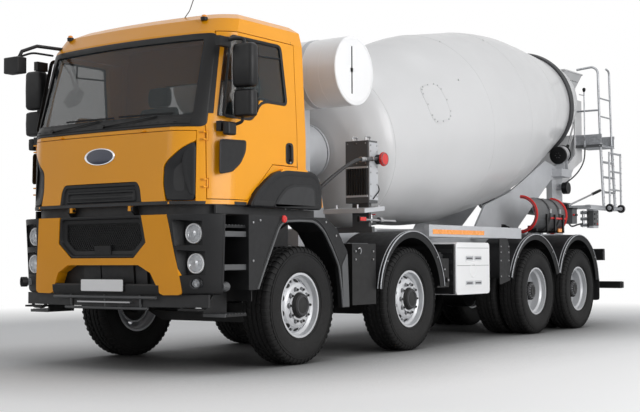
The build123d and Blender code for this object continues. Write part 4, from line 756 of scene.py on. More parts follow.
def deflector_at(x, z, out):
    """A point of the skin by the deflector, also beyond the flap's edge."""
    return cab_front(min(x, 1.14), max(z, 1.457), out)


RECESS_STEPS = ((0.002, 0.03), (0.002, 0.01), (0.01, 0.004), (0.04, 0.01), (0.075, 0.026),
    (0.082, 0.03))
BLADE_STEPS = ((0.0, 0.028), (0.0, 0.008), (0.006, 0.003), (0.02, 0.003), (0.03, 0.006))
# outlines of the corner recess and of the blade in it: x and z
RECESS = ((0.972, 1.966), (0.88, 1.905), (0.791, 1.82), (0.73, 1.76), (0.724, 1.6), (0.758, 1.457),
    (0.972, 1.457))
BLADE = ((0.974, 1.935), (0.9, 1.885), (0.88, 1.79), (0.893, 1.68), (0.916, 1.58), (0.938, 1.512),
    (0.974, 1.49))
for side in (1, -1):
    def on_this_side(x, z, out):
        """The same point on the side in hand."""
        point = deflector_at(x, z, out)
        return Vector((point.x * side, point.y, point.z))

    # The corner recess is closed at its back by a near-black face: painted shade in the recess. The
    # blade's face is its own plastic.
    for outline, bend, steps, closing in ((RECESS, 0.04, RECESS_STEPS, DARK_TRIM_AND_SHADE),
            (BLADE, 0.03, BLADE_STEPS, PLASTIC)):
        grille.cap(stepped_frame(grille, outline, steps, PLASTIC, on_this_side, bend), closing)
grille.place("front_flap", "cab_trim", angle=30)

# ---------------------------------------------------------------- bumper
def bumper_front(x, z, out=0.0):
    """A point of the bumper's skin: its face leans back towards the bottom."""
    drop = (1.33 - z) / 0.78
    lean = -1.43 + 0.07 * drop
    edge, end_x, end_y = 0.82, 1.203 - 0.028 * drop, -1.173 + 0.004 * drop
    across = abs(x)
    if across <= edge:
        y = lean + 0.02 * (across / edge) ** 2
    else:
        first = Vector((edge, lean + 0.02))
        middle, last = Vector((1.032 - 0.024 * drop, -1.337 + 0.045 * drop)), Vector((end_x, end_y))
        y = curve_y(first, middle, last, across)
    return at(x, y - out, z)


def bumper_end(z):
    """Sideways place of the bumper's side at a height."""
    return 1.203 - 0.028 * (1.33 - z) / 0.78


# rows from the top down: height inside, x inside, height outside, x outside
LEG = ((1.342, 0.497, 1.342, 0.777), (1.23, 0.514, 1.23, 0.797), (1.11, 0.532, 1.11, 0.816),
    (1.045, 0.458, 1.04, 0.828), (0.978, 0.382, 0.978, 0.84), (0.918, 0.43, 0.918, 0.852),
    (0.85, 0.562, 0.85, 0.865), (0.76, 0.61, 0.76, 0.88), (0.7, 0.64, 0.7, 0.887),
    (0.678, 0.652, 0.68, 0.88), (0.664, 0.69, 0.666, 0.85))
bumper_frame = Shape("bumper_frame")
for side in (1, -1):
    rows = []
    for low_z, low_x, high_z, high_x in LEG:
        rows.append([bumper_front(side * (low_x + (high_x - low_x) * k / 6),
            low_z + (high_z - low_z) * k / 6) for k in range(7)])
    bumper_frame.sheet(rows, ORANGE, (0, 0.045, 0))
rows = [[bumper_front((0.382 + 0.048 * row / 2) * (k / 6 - 1), 0.978 - 0.06 * row / 2)
    for k in range(13)] for row in range(3)]
bumper_frame.sheet(rows, ORANGE, (0, 0.045, 0))
bmesh.ops.remove_doubles(bumper_frame.mesh, verts=bumper_frame.mesh.verts, dist=0.0005)
doubled = {}
for face in bumper_frame.mesh.faces:
    doubled.setdefault(tuple(sorted(vert.index for vert in face.verts)), []).append(face)
bmesh.ops.delete(bumper_frame.mesh, geom=[face for group in doubled.values() if len(group) > 1
    for face in group], context="FACES_ONLY")
bumper_frame.place("chassis", "cab_paint", bevel=0.01, angle=28, segments=3)

housing = Shape("bumper_housing")
for side in (1, -1):
    rings = []
    for level, shrink in ((1.342, 0.006), (1.336, 0.0), (1.2, 0.0), (1.04, 0.0), (0.9, 0.0),
            (0.78, 0.0), (0.7, 0.003), (0.682, 0.012), (0.67, 0.028), (0.664, 0.05)):
        inner = next(high[3] + (low[3] - high[3]) * (level - high[2]) / (low[2] - high[2])
            for low, high in zip(LEG, LEG[1:]) if high[2] <= level <= low[2] or high is LEG[-1])
        end = bumper_end(level) - shrink
        arc = []
        for k in range(25):
            x = inner - 0.012 + (end - inner + 0.012) * (1 - (1 - k / 24) ** 1.8)
            arc.append(bumper_front(side * min(x, bumper_end(level) - 0.0005), level,
                -max(shrink, 0.004)))
        arc[-1] = at(side * end, -1.172 + shrink * 0.2, level)
        arc += [at(side * end, -1.15, level), at(side * (inner - 0.012), -1.15, level)]
        rings.append(arc)
    housing.rings(rings, PLASTIC)
# middle of each lamp on the left, its radius and how far it turns outwards
LAMPS = ((0.966, -1.275, 1.182, 0.078, 5), (0.982, -1.268, 0.93, 0.078, 5))
# the left fog lamp: its middle, its hole's radius and how far it turns outwards
FOG = (1.035, -1.325, 0.765, 0.046, 25)


def facing(turn, side):
    """The direction into a lamp that is turned outwards by degrees."""
    return Vector((-sin(radians(turn)) * side, cos(radians(turn)), 0))


def bored(middle, into, reach, depth, radius, segments):
    """A tool that bores a round hole along a lamp's axis."""
    tool = Shape("tool")
    tool.rod(middle - into * reach, middle + into * depth, radius, DARK_TRIM_AND_SHADE, segments)
    return tool


tools = []
for x, y, z, radius, turn in LAMPS:
    for side in (1, -1):
        tool = Shape("tool")
        into = facing(turn, side)
        middle = at(side * x, y, z)
        # the pocket opens from the lamp's square towards the skin
        far = [middle - into * 0.2 + Vector((a * side, 0, b))
               for a, b in ((-0.17, -0.112), (0.135, -0.108), (0.14, 0.126), (-0.182, 0.124))]
        near = [middle + into * 0.004 + Vector((a * side, 0, b))
                for a, b in ((-0.098, -0.095), (0.098, -0.095), (0.098, 0.098), (-0.098, 0.098))]
        tool.rings([near, far], PLASTIC)
        tools += [tool, bored(middle, into, 0.02, 0.068, radius + 0.01, 40)]
for side in (1, -1):
    tools.append(bored(at(side * FOG[0], *FOG[1:3]), facing(FOG[4], side), 0.12, 0.062, FOG[3], 32))
housing.place("chassis", "cab_trim", bevel=0.004, angle=26, cutters=tools)


def add_lamp(shape, middle, into, radius):
    """A round headlamp: chrome bowl, ribs, bright ring and lens."""
    shape.revolve(middle, into, ((-0.004, radius * 1.1), (-0.012, radius * 1.08),
        (-0.014, radius * 1.0), (-0.01, radius * 0.93), (0.01, radius * 0.92),
        (0.012, radius * 1.1)), WHITE, 48, caps=False)
    shape.revolve(middle, into, ((-0.006, radius * 0.92), (0.012, radius * 0.8),
        (0.034, radius * 0.45), (0.04, 0.0)), CHROME, 48, caps=False)
    shape.revolve(middle, into, ((-0.002, radius * 0.4), (0.034, radius * 0.34),
        (-0.004, radius * 0.3), (-0.012, 0.0)), CHROME, 32, caps=False)
    for k in (-2, -1, 0, 1, 2):
        rise = radius * 0.3 * k
        reach = sqrt(max((radius * 0.86) ** 2 - rise ** 2, 0.0001))
        across = into.cross(UP).normalized()
        start = middle + Vector((0, 0, rise)) - across * reach + into * 0.001
        shape.rod(start, start + across * 2 * reach, 0.0035, STEEL, 8)
    shape.revolve(middle, into, ((-0.011, radius * 0.95), (-0.017, radius * 0.75),
        (-0.021, radius * 0.4), (-0.022, 0.0)), LENS, 48, caps=False)


front_lamps = Shape("front_lamps")
for side in (1, -1):
    for x, y, z, radius, turn in LAMPS:
        add_lamp(front_lamps, at(side * x, y, z), facing(turn, side), radius)
    into, fog_at = facing(FOG[4], side), at(side * FOG[0], *FOG[1:3])
    front_lamps.revolve(fog_at, into, ((-0.05, 0.04), (-0.052, 0.046), (0.0, 0.046), (0.0, 0.034),
                                       (-0.05, 0.04)), DARK_TRIM_AND_SHADE, 32, caps=False)
    front_lamps.revolve(fog_at, into, ((-0.012, 0.034), (0.02, 0.028), (0.03, 0.0)), CHROME, 32,
        caps=False)
    front_lamps.revolve(fog_at, into, ((-0.016, 0.034), (-0.022, 0.0)), LENS, 32, caps=False)
front_lamps.place("chassis", "lamp_glass", angle=40)

# lower grille: frame, wavy mesh and a plain box in the middle of its foot
lower = Shape("bumper_grille")
GRILLE_LOW = ((-0.497, 1.344), (0.497, 1.344), (0.532, 1.11), (0.382, 0.978), (-0.382, 0.978),
    (-0.532, 1.11))


def bumper_at(x, z, out):
    """The bumper's skin as a surface for frames."""
    return bumper_front(x, min(z, 1.342), out)


last = stepped_frame(lower, GRILLE_LOW, ((-0.004, 0.04), (0.0, 0.01), (0.008, 0.006),
    (0.022, 0.008), (0.032, 0.03), (0.062, 0.036), (0.068, 0.044)), PLASTIC, bumper_at)
backing = [point + Vector((0, 0.02, 0)) for point in last]
lower.rings([last, backing], PLASTIC, caps=False)
# A near-black face closes the lower grille behind its mesh: painted shade.
lower.cap(backing, DARK_TRIM_AND_SHADE)
MESH = offset(GRILLE_LOW, 0.064)


def mesh_reach(z):
    """Half width of the mesh at a height."""
    low, mid, high = MESH[3], MESH[2], MESH[1]
    if z > mid.y:
        return high.x + (mid.x - high.x) * (high.y - z) / (high.y - mid.y)
    return mid.x + (low.x - mid.x) * (mid.y - z) / (mid.y - low.y)


pitch, wave = 0.0215, 0.0068
level = MESH[3].y + 0.012
row = 0
while level < MESH[1].y:
    reach = mesh_reach(level) - 0.002
    count = int(reach / 0.0125)
    line = []
    for k in range(-count, count + 1):
        line.append(bumper_front(k * 0.0125, level + (wave if (k + row) % 2 else -wave), -0.044))
    lower.sheet([line, [point + Vector((0, 0, 0.0055)) for point in line]], PLASTIC, (0, 0.008, 0))
    if row:
        for k in range(-count, count + 1):
            if (k + row) % 2 == 0:
                foot = bumper_front(k * 0.0125, level - wave, -0.046)
                lower.box(foot + Vector((-0.0018, 0, -pitch + 2 * wave)),
                    foot + Vector((0.0018, 0.006, 0.001)), PLASTIC)
    level += pitch
    row += 1
sensor = [bumper_front(x, z, -0.026) for x, z in ((-0.098, 0.985), (0.098, 0.985), (0.098, 1.088),
    (-0.098, 1.088))]
lower.prism(sensor, (0, 0.03, 0), PLASTIC, shrink=-0.02)
for x in (-0.045, 0.045):
    foot = bumper_front(x, 1.04, -0.028)
    lower.rod(foot, foot + Vector((0, -0.004, 0)), 0.006, DARK_TRIM_AND_SHADE, 10)

# recess under the crossbar, bar behind the plate, blank plate, lower valance and step strip
# The recess's back is a near-black sheet: painted shade in the bumper's opening.
recess = [bumper_front(x, z, -0.12) for x, z in ((-0.66, 0.66), (0.66, 0.66), (0.6, 0.93),
    (-0.6, 0.93))]
lower.prism(recess, (0, 0.02, 0), DARK_TRIM_AND_SHADE)
for x0, x1, depth in ((-0.31, -0.1, 0.085), (-0.08, 0.3, 0.08), (0.31, 0.44, 0.095)):
    panel = [bumper_front(x, z, -depth) for x, z in ((x0, 0.7), (x1, 0.7), (x1, 0.935),
        (x0, 0.935))]
    lower.prism(panel, (0, 0.03, 0), DARK_TRIM_AND_SHADE)
bar = [[bumper_front(-0.645 + 1.29 * k / 16, z, out) for k in range(17)]
       for z, out in ((0.668, -0.006), (0.7, 0.004), (0.742, 0.004), (0.756, -0.008))]
lower.sheet(bar, PLASTIC, (0, 0.03, 0))
for side in (1, -1):
    wall = [bumper_front(side * x, z, -0.012) for x, z in ((0.56, 0.85), (0.64, 0.7),
        (0.65, 0.672))]
    lower.sheet([wall, [point + Vector((0, 0.1, 0)) for point in wall]], ORANGE,
        (side * 0.006, 0, 0))
    slope = [bumper_front(side * x, z, -0.012) for x, z in ((0.418, 0.918), (0.56, 0.85))]
    lower.sheet([slope, [point + Vector((0, 0.1, 0)) for point in slope]], ORANGE, (0, 0, 0.006))
lower.sheet([[at(-1.1 + 2.2 * k / 20, -1.35 + 0.1 * abs(k / 10 - 1) ** 2, z) for k in range(21)]
    for z in (0.668, 0.56)], DARK_TRIM_AND_SHADE, (0, 0.02, 0))
for z, half, out in ((0.64, 0.62, -1.368), (0.545, 0.5, -1.34)):
    lower.rods(0.013, GREY, 12, (-half, out, z, half, out, z))
for x in (-0.42, 0.0, 0.42):
    lower.rods(0.01, GREY, 10, (x, -1.34, 0.545, x, -1.355, 0.66))
lower.boxes(STEEL, (-0.3, -1.394, 0.592, 0.34, -1.362, 0.604))
for side in (1, -1):
    lower.tube([at(side * 0.8, -1.26, 0.66), at(side * 0.83, -1.28, 0.535),
        at(side * 1.05, -1.24, 0.535), at(side * 1.09, -1.18, 0.66)], 0.014, BLACK)
    lower.boxes(BLACK, (side * 0.83, -1.33, 0.535, side * 1.05, -1.2, 0.552))
    knob = at(side * 1.165, -1.12, 0.735)
    lower.revolve(knob, (0, 1, 0), ((-0.04, 0.03), (0.01, 0.042), (0.03, 0.038), (0.036, 0.0)),
        GREY, 24)
    for z in (1.155, 0.875):
        lower.boxes(GREY, (side * 1.06, -1.15, z, side * 1.19, -0.86, z + 0.045))
lower.place("chassis", "cab_trim", ("bumper",), angle=30)

plate = Shape("number_plate")
mid = bumper_front(0, 0.742, 0.012)
outline = rounded_box(-0.262, -0.058, 0.262, 0.058, 0.014)
plate.prism([mid + Vector((p.x, 0, p.y)) for p in outline], (0, 0.012, 0), BLACK)
outline = rounded_box(-0.255, -0.051, 0.255, 0.051, 0.012)
plate.prism([mid + Vector((p.x, -0.003, p.y)) for p in outline], (0, 0.004, 0), WHITE)
plate.place("chassis", "white_paint", bevel=0.0015)

# ---------------------------------------------------------------- cab trim
# the screen's dark surround: x and z
SCREEN_OUT = rounded_outline(((-1.036, 2.082), (1.036, 2.082), (1.0, 2.912), (-1.0, 2.912)), 0.05,
    8)


def dense(outline, longest):
    """A closed 2-D outline with points added along its long edges."""
    shaped = []
    for first, second in zip(outline, outline[1:] + outline[:1]):
        parts = max(1, int((Vector(second) - Vector(first)).length / longest))
        shaped += [Vector(first).lerp(Vector(second), k / parts) for k in range(parts)]
    return shaped


def front_rows(half, steps, levels):
    """Level rows over the cab's front; levels list the height and how far each stands out."""
    return [[cab_front(half * (2 * k / steps - 1), z, out) for k in range(steps + 1)]
        for z, out in levels]


def foot_rows(half, steps, levels, out):
    """Level rows that hang straight down from the front skin's foot."""
    return [[point + UP * (z - CAB_FOOT) for point in front_rows(half, steps,
        ((CAB_FOOT, out),))[0]] for z in levels]


CAB_FOOT = 1.432              # the height of the cab skin's lower edge
surround = Shape("screen_surround")
outer = dense(SCREEN_OUT, 0.05)
inner = [Vector((point.x * 0.962 / 1.036, 2.165 + (point.y - 2.082) / 0.83 * 0.715))
    for point in outer]
rings = [[cab_front(p.x, p.y, out) for p in loop] for loop, out in
         ((outer, -0.004), (outer, 0.004), (offset(outer, 0.006), 0.008), (inner, 0.006),
          (offset(inner, 0.022), 0.002), (offset(inner, 0.022), -0.062))]
surround.rings(rings, BLACK, caps=False)
# cowl below the glass with the wipers' spindles
rows = front_rows(0.94, 40, ((2.1, 0.006), (2.112, 0.016), (2.15, 0.014), (2.168, 0.004)))
surround.sheet(rows, BLACK, (0, 0.008, 0))
for k in range(-9, 10):
    slot_at = cab_front(k * 0.09, 2.13, 0.0155)
    surround.box(slot_at + Vector((-0.032, -0.002, -0.004)),
        slot_at + Vector((0.032, 0.004, 0.004)), DARK_TRIM_AND_SHADE)
for x in (-0.62, 0.04):
    spindle = cab_front(x, 2.128, 0.014)
    surround.rod(spindle, spindle + Vector((0, -0.022, 0.004)), 0.016, BLACK, 16)
    elbow = cab_front(x + 0.3, 2.15, 0.03)
    tip = cab_front(x + 0.58, 2.185, 0.016)
    surround.tube([spindle + Vector((0, -0.014, 0)), elbow, tip], 0.006, BLACK, 8)
    blade = [cab_front(x + 0.16 + 0.0504 * k, 2.196 - 0.004 * k / 12, 0.012) for k in range(13)]
    surround.sheet([blade, [p + Vector((0, -0.004, 0.014)) for p in blade]], BLACK, (0, -0.006, 0))
for side in (1, -1):
    rows = [[cab_front(side * (cab_section(z)[0] - back), z, 0.0045)
        for z in [2.2 + 0.69 * k / 12 for k in range(13)]] for back in (0.118, 0.1, 0.086)]
    surround.sheet(rows, BLACK, (0, 0.004, 0))
surround.place("cab", "cab_trim", angle=34)

# dark band between the cab's foot and the bumper, on the frame: painted shade in the gap, with
# near-black sheets as painted shade below the cab's sides and behind the bumper
band = Shape("gap_shade_band")
band.sheet(foot_rows(1.1, 40, (1.428, 1.346), -0.075), DARK_TRIM_AND_SHADE, (0, 0.02, 0))
for side in (1, -1):
    band.boxes(DARK_TRIM_AND_SHADE, (side * 1.085, -1.16, 1.352, side * 1.105, -0.62, 1.424),
        (side * 1.085, -0.62, 1.325, side * 1.105, 0.27, 1.415),
        (side * 0.52, -0.72, 1.0, side * 0.53, 0.64, 1.4),
        (side * 0.53, 0.25, 1.325, side * 1.1, 0.262, 1.4))
band.place("chassis", "cab_trim")
lip = Shape("cab_lip")
lip.sheet(foot_rows(1.148, 60, (1.4535, 1.426), 0.0015), DARK_TRIM_AND_SHADE, (0, 0.02, 0))
for side in (1, -1):
    lip.boxes(DARK_TRIM_AND_SHADE, (side * 1.14, -0.965, 1.426, side * 1.1515, -0.8, 1.4545))
lip.place("cab", "cab_trim")

# each side: window seal, dark inset, handle, wheel arch flare, mirror
WINDOW = ((-1.11, 2.18), (-0.72, 2.18), (-0.59, 2.33), (-0.5, 2.36), (-0.2, 2.36), (-0.26, 2.885),
    (-0.965, 2.88))
FLARE = ((-0.812, 1.418), (-0.7, 1.552), (-0.56, 1.656), (-0.44, 1.728), (-0.29, 1.762),
    (0.125, 1.766), (0.2, 1.732), (0.262, 1.64), (0.27, 1.418))
FLARE_IN = ((-0.5, 1.418), (-0.405, 1.53), (-0.3, 1.61), (-0.2, 1.64), (-0.06, 1.648),
    (0.04, 1.646), (0.1, 1.64), (0.15, 1.61), (0.17, 1.418))


for side_name, side in SIDES:
    def here(y, z, out):
        """A point of the cab's skin on the side in hand."""
        return at(side * (cab_section(min(max(z, 1.431), 3.129))[0] + out), y, z)

    def flat(y, z, out):
        """A point beside the cab at a plain sideways place."""
        return at(side * out, y, z)

    trim = Shape(f"door_trim_{side_name}")
    seal = dense(rounded_outline(WINDOW, 0.05, 6), 0.08)
    trim.steps(here, seal, ((-0.016, -0.002), (-0.014, 0.004), (0.0, 0.005), (0.012, 0.0),
        (0.012, -0.02)), BLACK)
    # the window's dividers
    for y, z in ((-0.25, 2.775), (-0.64, 2.88)):
        trim.rod(here(-0.64, 2.755, -0.012), here(y, z, -0.012), 0.009, BLACK, 8)
    inset = rounded_outline(((-1.158, 1.976), (-0.8, 1.99), (-0.812, 1.885), (-0.88, 1.785),
        (-0.99, 1.708), (-1.165, 1.678)), 0.035, 5)
    trim.steps(here, inset, ((0.0, -0.004), (0.0, 0.0015), (0.006, 0.0045), (0.012, 0.0045),
        (0.02, 0.001)), PLASTIC, PLASTIC)
    dish = rounded_outline(((-0.232, 2.012), (-0.118, 2.016), (-0.112, 1.822), (-0.232, 1.818)),
        0.045, 6)
    trim.steps(here, dish, ((0.0, -0.004), (0.0, 0.003), (0.006, 0.007), (0.016, 0.007),
        (0.024, 0.001)), BLACK, DARK_TRIM_AND_SHADE)
    grip = [here(-0.172, z, out) for z, out in ((1.99, 0.002), (1.98, 0.022), (1.862, 0.022),
                                                         (1.85, 0.002))]
    trim.tube(grip, 0.013, BLACK, 10, 0.03)
    lock = here(-0.172, 1.838, 0.004)
    trim.rod(lock, lock + Vector((side * 0.008, 0, 0)), 0.011, STEEL, 14)
    trim.place(f"{side_name}_door", "cab_trim", angle=36)

    flare = Shape(f"flare_{side_name}")
    outer = rounded_outline(FLARE, 0.05, 5)
    flare.steps(flat, outer, ((-0.003, 1.128), (-0.003, 1.192), (0.01, 1.205), (0.04, 1.208),
        (0.055, 1.204)), PLASTIC, PLASTIC)
    inner = rounded_outline(FLARE_IN, 0.04, 4)
    flare.steps(flat, inner, ((0.0, 1.202), (0.005, 1.21), (0.03, 1.212)), PLASTIC, SEAL)
    # the rear corner's seam
    flare.rod(here(-0.052, 1.78, 0.0), here(-0.095, 2.95, 0.0), 0.0028, DARK_TRIM_AND_SHADE, 6)
    flare.place("cab", "cab_trim", angle=30)

    mirror = Shape(f"mirror_housing_{side_name}")

    def shell_box(low, high, bend):
        """A housing with rounded corners that stands on a level outline."""
        outline = rounded_box(*low[:2], *high[:2], bend, 5)
        tall = high[2] - low[2]
        rings = []
        for share, inset in ((0.0, bend * 0.9), (0.03, bend * 0.4), (0.08, bend * 0.1), (0.5, 0.0),
                (0.92, bend * 0.1), (0.97, bend * 0.4), (1.0, bend * 0.9)):
            rings.append([at(side * p.x, p.y, low[2] + tall * share)
                for p in offset(outline, inset * 0.6)])
        mirror.rings(rings, BLACK)

    shell_box((1.18, -1.055, 2.42), (1.403, -0.932, 2.79), 0.05)
    shell_box((1.188, -1.055, 2.162), (1.4, -0.934, 2.398), 0.062)
    for low, high in ((2.45, 2.77), (2.195, 2.38)):
        pane = rounded_box(1.19, low, 1.382, high, 0.03)
        mirror.cap([at(side * p.x, -0.93, p.y) for p in pane], CHROME)
    mirror.rods(0.03, BLACK, 16, (side * 1.24, -0.99, 2.39, side * 1.24, -0.99, 2.432))
    mirror.tube([at(side * 1.105, -1.06, 2.815), at(side * 1.19, -1.01, 2.845),
        at(side * 1.28, -0.99, 2.832), at(side * 1.28, -0.99, 2.77)], 0.016, BLACK, 12, 0.04)
    mirror.tube([at(side * 1.145, -1.05, 2.11), at(side * 1.2, -1.01, 2.104),
        at(side * 1.26, -0.99, 2.13), at(side * 1.26, -0.99, 2.18)], 0.014, BLACK, 12, 0.03)
    for z in (2.808, 2.085):
        mirror.boxes(BLACK, (side * 1.1, -1.15, z - 0.04, side * 1.152, -1.02, z + 0.045))
    shell_box((1.16, -1.15, 2.01), (1.235, -1.03, 2.12), 0.028)
    mirror.place(f"{side_name}_door", "cab_trim", (f"mirror_{side_name}",), bevel=0.002, angle=40)

# ---------------------------------------------------------------- roof
roof = Shape("roof_fittings")
roof.tube([at(-0.9, -0.962, 2.965), at(-0.985, -1.262, 2.97), at(-1.0, -1.43, 2.9),
    at(-1.0, -1.48, 2.812)], 0.0165, BLACK, 12, 0.004)
roof.tube([at(-0.96, -1.085, 2.9), at(-1.005, -1.3, 2.905), at(-1.015, -1.44, 2.85)], 0.01, BLACK,
    10, 0.05)
outline = rounded_box(-1.096, -1.566, -0.904, -1.454, 0.012)
roof.rings([[at(p.x, p.y, z) for p in offset(outline, inset)] for z, inset in
            ((2.68, 0.01), (2.686, 0.0), (2.824, 0.0), (2.83, 0.01))], BLACK)
roof.tube([at(0.42, -0.8, 3.118), at(0.66, -0.98, 3.15), at(0.92, -1.2, 3.235)], 0.004, BLACK, 8,
    0.05)
roof.rod(at(0.42, -0.8, 3.105), at(0.42, -0.8, 3.135), 0.022, BLACK, 16, 0.012)
for side in (1, -1):
    lamp = at(side * 0.83, -0.985, 3.062)
    roof.revolve(lamp, UP, ((-0.02, 0.03), (0.006, 0.032), (0.01, 0.028), (0.012, 0.0)), BLACK, 20)
    roof.revolve(lamp + UP * 0.01, UP, ((0.0, 0.026), (0.018, 0.02), (0.024, 0.0)), AMBER, 20)
# roof hatch with its seam
roof.rings([[at(x, y, 3.1285 + out) for x, y in ((-0.36, -0.55), (0.36, -0.55), (0.36, -0.05),
    (-0.36, -0.05))] for out in (0.0, 0.01)], BLACK, caps=False)
hatch_out = rounded_box(-0.35, -0.54, 0.35, -0.06, 0.06, 5)
roof.steps(at, hatch_out, ((-0.012, 3.128), (0.0, 3.144), (0.03, 3.15), (0.1, 3.152)), BLACK, BLACK)
roof.place("cab", "cab_trim", angle=36)

# ---------------------------------------------------------------- cab's rear wall
back = Shape("cab_back")
for x in (-0.95, -0.8, 0.8, 0.95):
    back.boxes(ORANGE, (x - 0.02, 0.078, 1.6, x + 0.02, 0.092, 2.95))
for z in (2.1, 2.85):
    back.boxes(ORANGE, (-1.0, 0.078, z - 0.018, 1.0, 0.088, z + 0.018))
window = rounded_box(-0.575, 2.235, 0.575, 2.715, 0.07, 6)
back.steps(lambda x, z, y: at(x, y, z), window,
           ((-0.012, 0.08), (-0.01, 0.09), (0.01, 0.09), (0.022, 0.08), (0.022, 0.06)), BLACK)
back.place("cab", "cab_paint", bevel=0.003)

# ---------------------------------------------------------------- fenders, steps and tanks
ARCH_STEPS = 40               # how many pieces an arch's line has


def arch_points(front, top, rear, axle, grow):
    """Points of a wheel arch: the circle through three pairs of y and z from the axle."""
    (ay, az), (by, bz), (cy, cz) = front, top, rear
    double = 2 * (ay * (bz - cz) + by * (cz - az) + cy * (az - bz))
    squares = [y * y + z * z for y, z in (front, top, rear)]
    mid_y = (squares[0] * (bz - cz) + squares[1] * (cz - az) + squares[2] * (az - bz)) / double
    mid_z = (squares[0] * (cy - by) + squares[1] * (ay - cy) + squares[2] * (by - ay)) / double
    radius = hypot(ay - mid_y, az - mid_z) + grow
    start, end = atan2(az - mid_z, ay - mid_y), atan2(cz - mid_z, cy - mid_y)
    return [(axle + mid_y + radius * cos(start + (end - start) * k / ARCH_STEPS),
        mid_z + radius * sin(start + (end - start) * k / ARCH_STEPS))
        for k in range(ARCH_STEPS + 1)]


fender = Shape("fender_beads")
ARCHES = ((2, (-0.66, 0.66), (-0.03, 1.238), (0.64, 0.66), 1.2),
    (3, (-0.74, 0.72), (-0.04, 1.25), (0.672, 0.76), 1.13),
    (4, (-0.64, 0.76), (-0.03, 1.26), (0.672, 0.65), 1.13))
for number, front, top, rear, edge in ARCHES:
    axle = AXLES[number - 1]
    for grow, place, radius in ((0.008, edge - 0.003, 0.007), (0.01, edge - 0.036, 0.006)):
        line = arch_points(front, top, rear, axle, grow)
        fender.tube([Vector((place, y, z)) for y, z in line], radius, ZINC, 8, 0.001)
    lip = arch_points(front, top, rear, axle, -0.004)
    deep = arch_points(front, top, rear, axle, -0.06)
    outer = [Vector((edge - 0.004, y, z)) for y, z in lip]
    inner = [Vector((edge - 0.016, y, z)) for y, z in deep]
    fender.sheet([outer, inner], PLASTIC, (-0.008, 0, 0))
    for share in (0.18, 0.82):
        y, z = lip[int(share * ARCH_STEPS)]
        fender.rod((edge - 0.002, y, z - 0.028), (edge + 0.006, y, z - 0.028), 0.009, STEEL, 6)
# flap behind the last arch, with round corners and its stay
flap_y = AXLES[3] + 0.678
outline = rounded_box(0.6, 0.36, 1.132, 0.7, 0.05, 5)
fender.prism([Vector((p.x, flap_y, p.y)) for p in outline], (0, 0.014, 0), RUBBER)
for x in (0.68, 0.86, 1.04):
    fender.rod((x, flap_y - 0.006, 0.665), (x, flap_y + 0.02, 0.665), 0.01, STEEL, 6)
fender.box((0.62, flap_y + 0.012, 0.64), (1.12, flap_y + 0.02, 0.69), GREY)
# flat panel ahead of the third arch
outline = rounded_outline(((4.13, 0.64), (4.42, 0.69), (4.4, 1.1), (4.34, 1.2), (4.13, 1.2)), 0.03,
    4)
fender.prism([at(1.098, p.x, p.y) for p in outline], (0.012, 0, 0), PLASTIC)
fender.boxes(DARK_TRIM_AND_SHADE, (1.108, 4.14, 0.977, 1.1115, 4.41, 0.983))
for y in (4.16, 4.37):
    for z in (0.74, 0.93, 1.03, 1.1):
        fender.rods(0.01, STEEL, 6, (1.108, y, z, 1.118, y, z))
# front arch: lighter lip, rear strip, marker lamp
lip = [(-0.735, 0.705), (-0.64, 0.88), (-0.53, 1.07), (-0.425, 1.25), (-0.35, 1.297),
    (-0.12, 1.309), (0.1, 1.307), (0.19, 1.27), (0.28, 1.205), (0.4, 1.06), (0.515, 0.895),
    (0.56, 0.66), (0.58, 0.505)]
fender.tube([at(1.2185, y, z) for y, z in lip], 0.011, GREY, 8, 0.05)
fender.tube([at(1.2195, y + 0.012 * (1 if y > 0 else -1), z + 0.03) for y, z in lip[1:-1]], 0.006,
    PLASTIC, 8, 0.05)
strip = rounded_outline(((0.585, 0.505), (0.683, 0.505), (0.655, 1.02), (0.56, 0.9)), 0.02, 3)
fender.prism([at(1.2195, p.x, p.y) for p in strip], (0.006, 0, 0), GREY)
fender.revolve(at(1.218, -0.36, 1.318), (1, 0, 0), ((0, 0.034), (0.012, 0.034), (0.02, 0.028),
    (0.022, 0.0)), RED, 24)
fender.boxes(BLACK, (1.216, -0.415, 1.285, 1.224, -0.305, 1.34))
for y, z in ((-0.8, 1.28), (-0.8, 0.95), (-0.7, 1.3), (0.3, 1.305), (0.47, 1.18)):
    fender.rods(0.011, STEEL, 6, (1.216, y, z, 1.225, y, z))
# treads of the steps with raised ribs
for tread_z in (0.5, 0.89, 1.25):
    for k in range(7):
        y = -1.12 + 0.042 * k
        fender.boxes(GREY, (0.96, y, tread_z, 1.178, y + 0.014, tread_z + 0.007))
    fender.boxes(GREY, (0.95, -1.142, tread_z - 0.022, 1.187, -1.132, tread_z + 0.004))
fender.mirror()
fender.place("chassis", "cab_trim", angle=34)


def beside(y, z, x):
    """A point at a plain sideways place, from its other two coordinates."""
    return at(x, y, z)


tank = Shape("tank_fittings")
face_x = 1.15
for low_z in (0.93, 0.648):
    outline = rounded_box(3.185, low_z, 3.585, low_z + 0.06, 0.018)
    tank.steps(beside, outline, ((-0.01, 1.147), (-0.008, 1.154), (0.0, 1.154), (0.006, 1.151)),
        WHITE, SILVER)
    tank.boxes(WHITE, (face_x, 3.375, low_z, face_x + 0.004, 3.395, low_z + 0.06))
    for y in (3.28, 3.49):
        tank.rods(0.008, GREY, 10, (face_x + 0.002, y - 0.06, low_z + 0.03, face_x + 0.002,
            y + 0.06, low_z + 0.03))
tank.revolve(at(face_x - 0.002, 3.37, 0.822), (1, 0, 0),
    ((0.0, 0.085), (0.007, 0.082), (0.007, 0.072), (0.0, 0.068)), WHITE, 48, caps=False)
tank.boxes(GREY, (face_x - 0.001, 2.985, 0.876, face_x + 0.003, 3.755, 0.88),
    (face_x - 0.001, 2.985, 1.075, face_x + 0.003, 3.755, 1.079))
tank.boxes(PLASTIC, (0.7, 2.925, 0.56, 1.135, 2.962, 1.12))
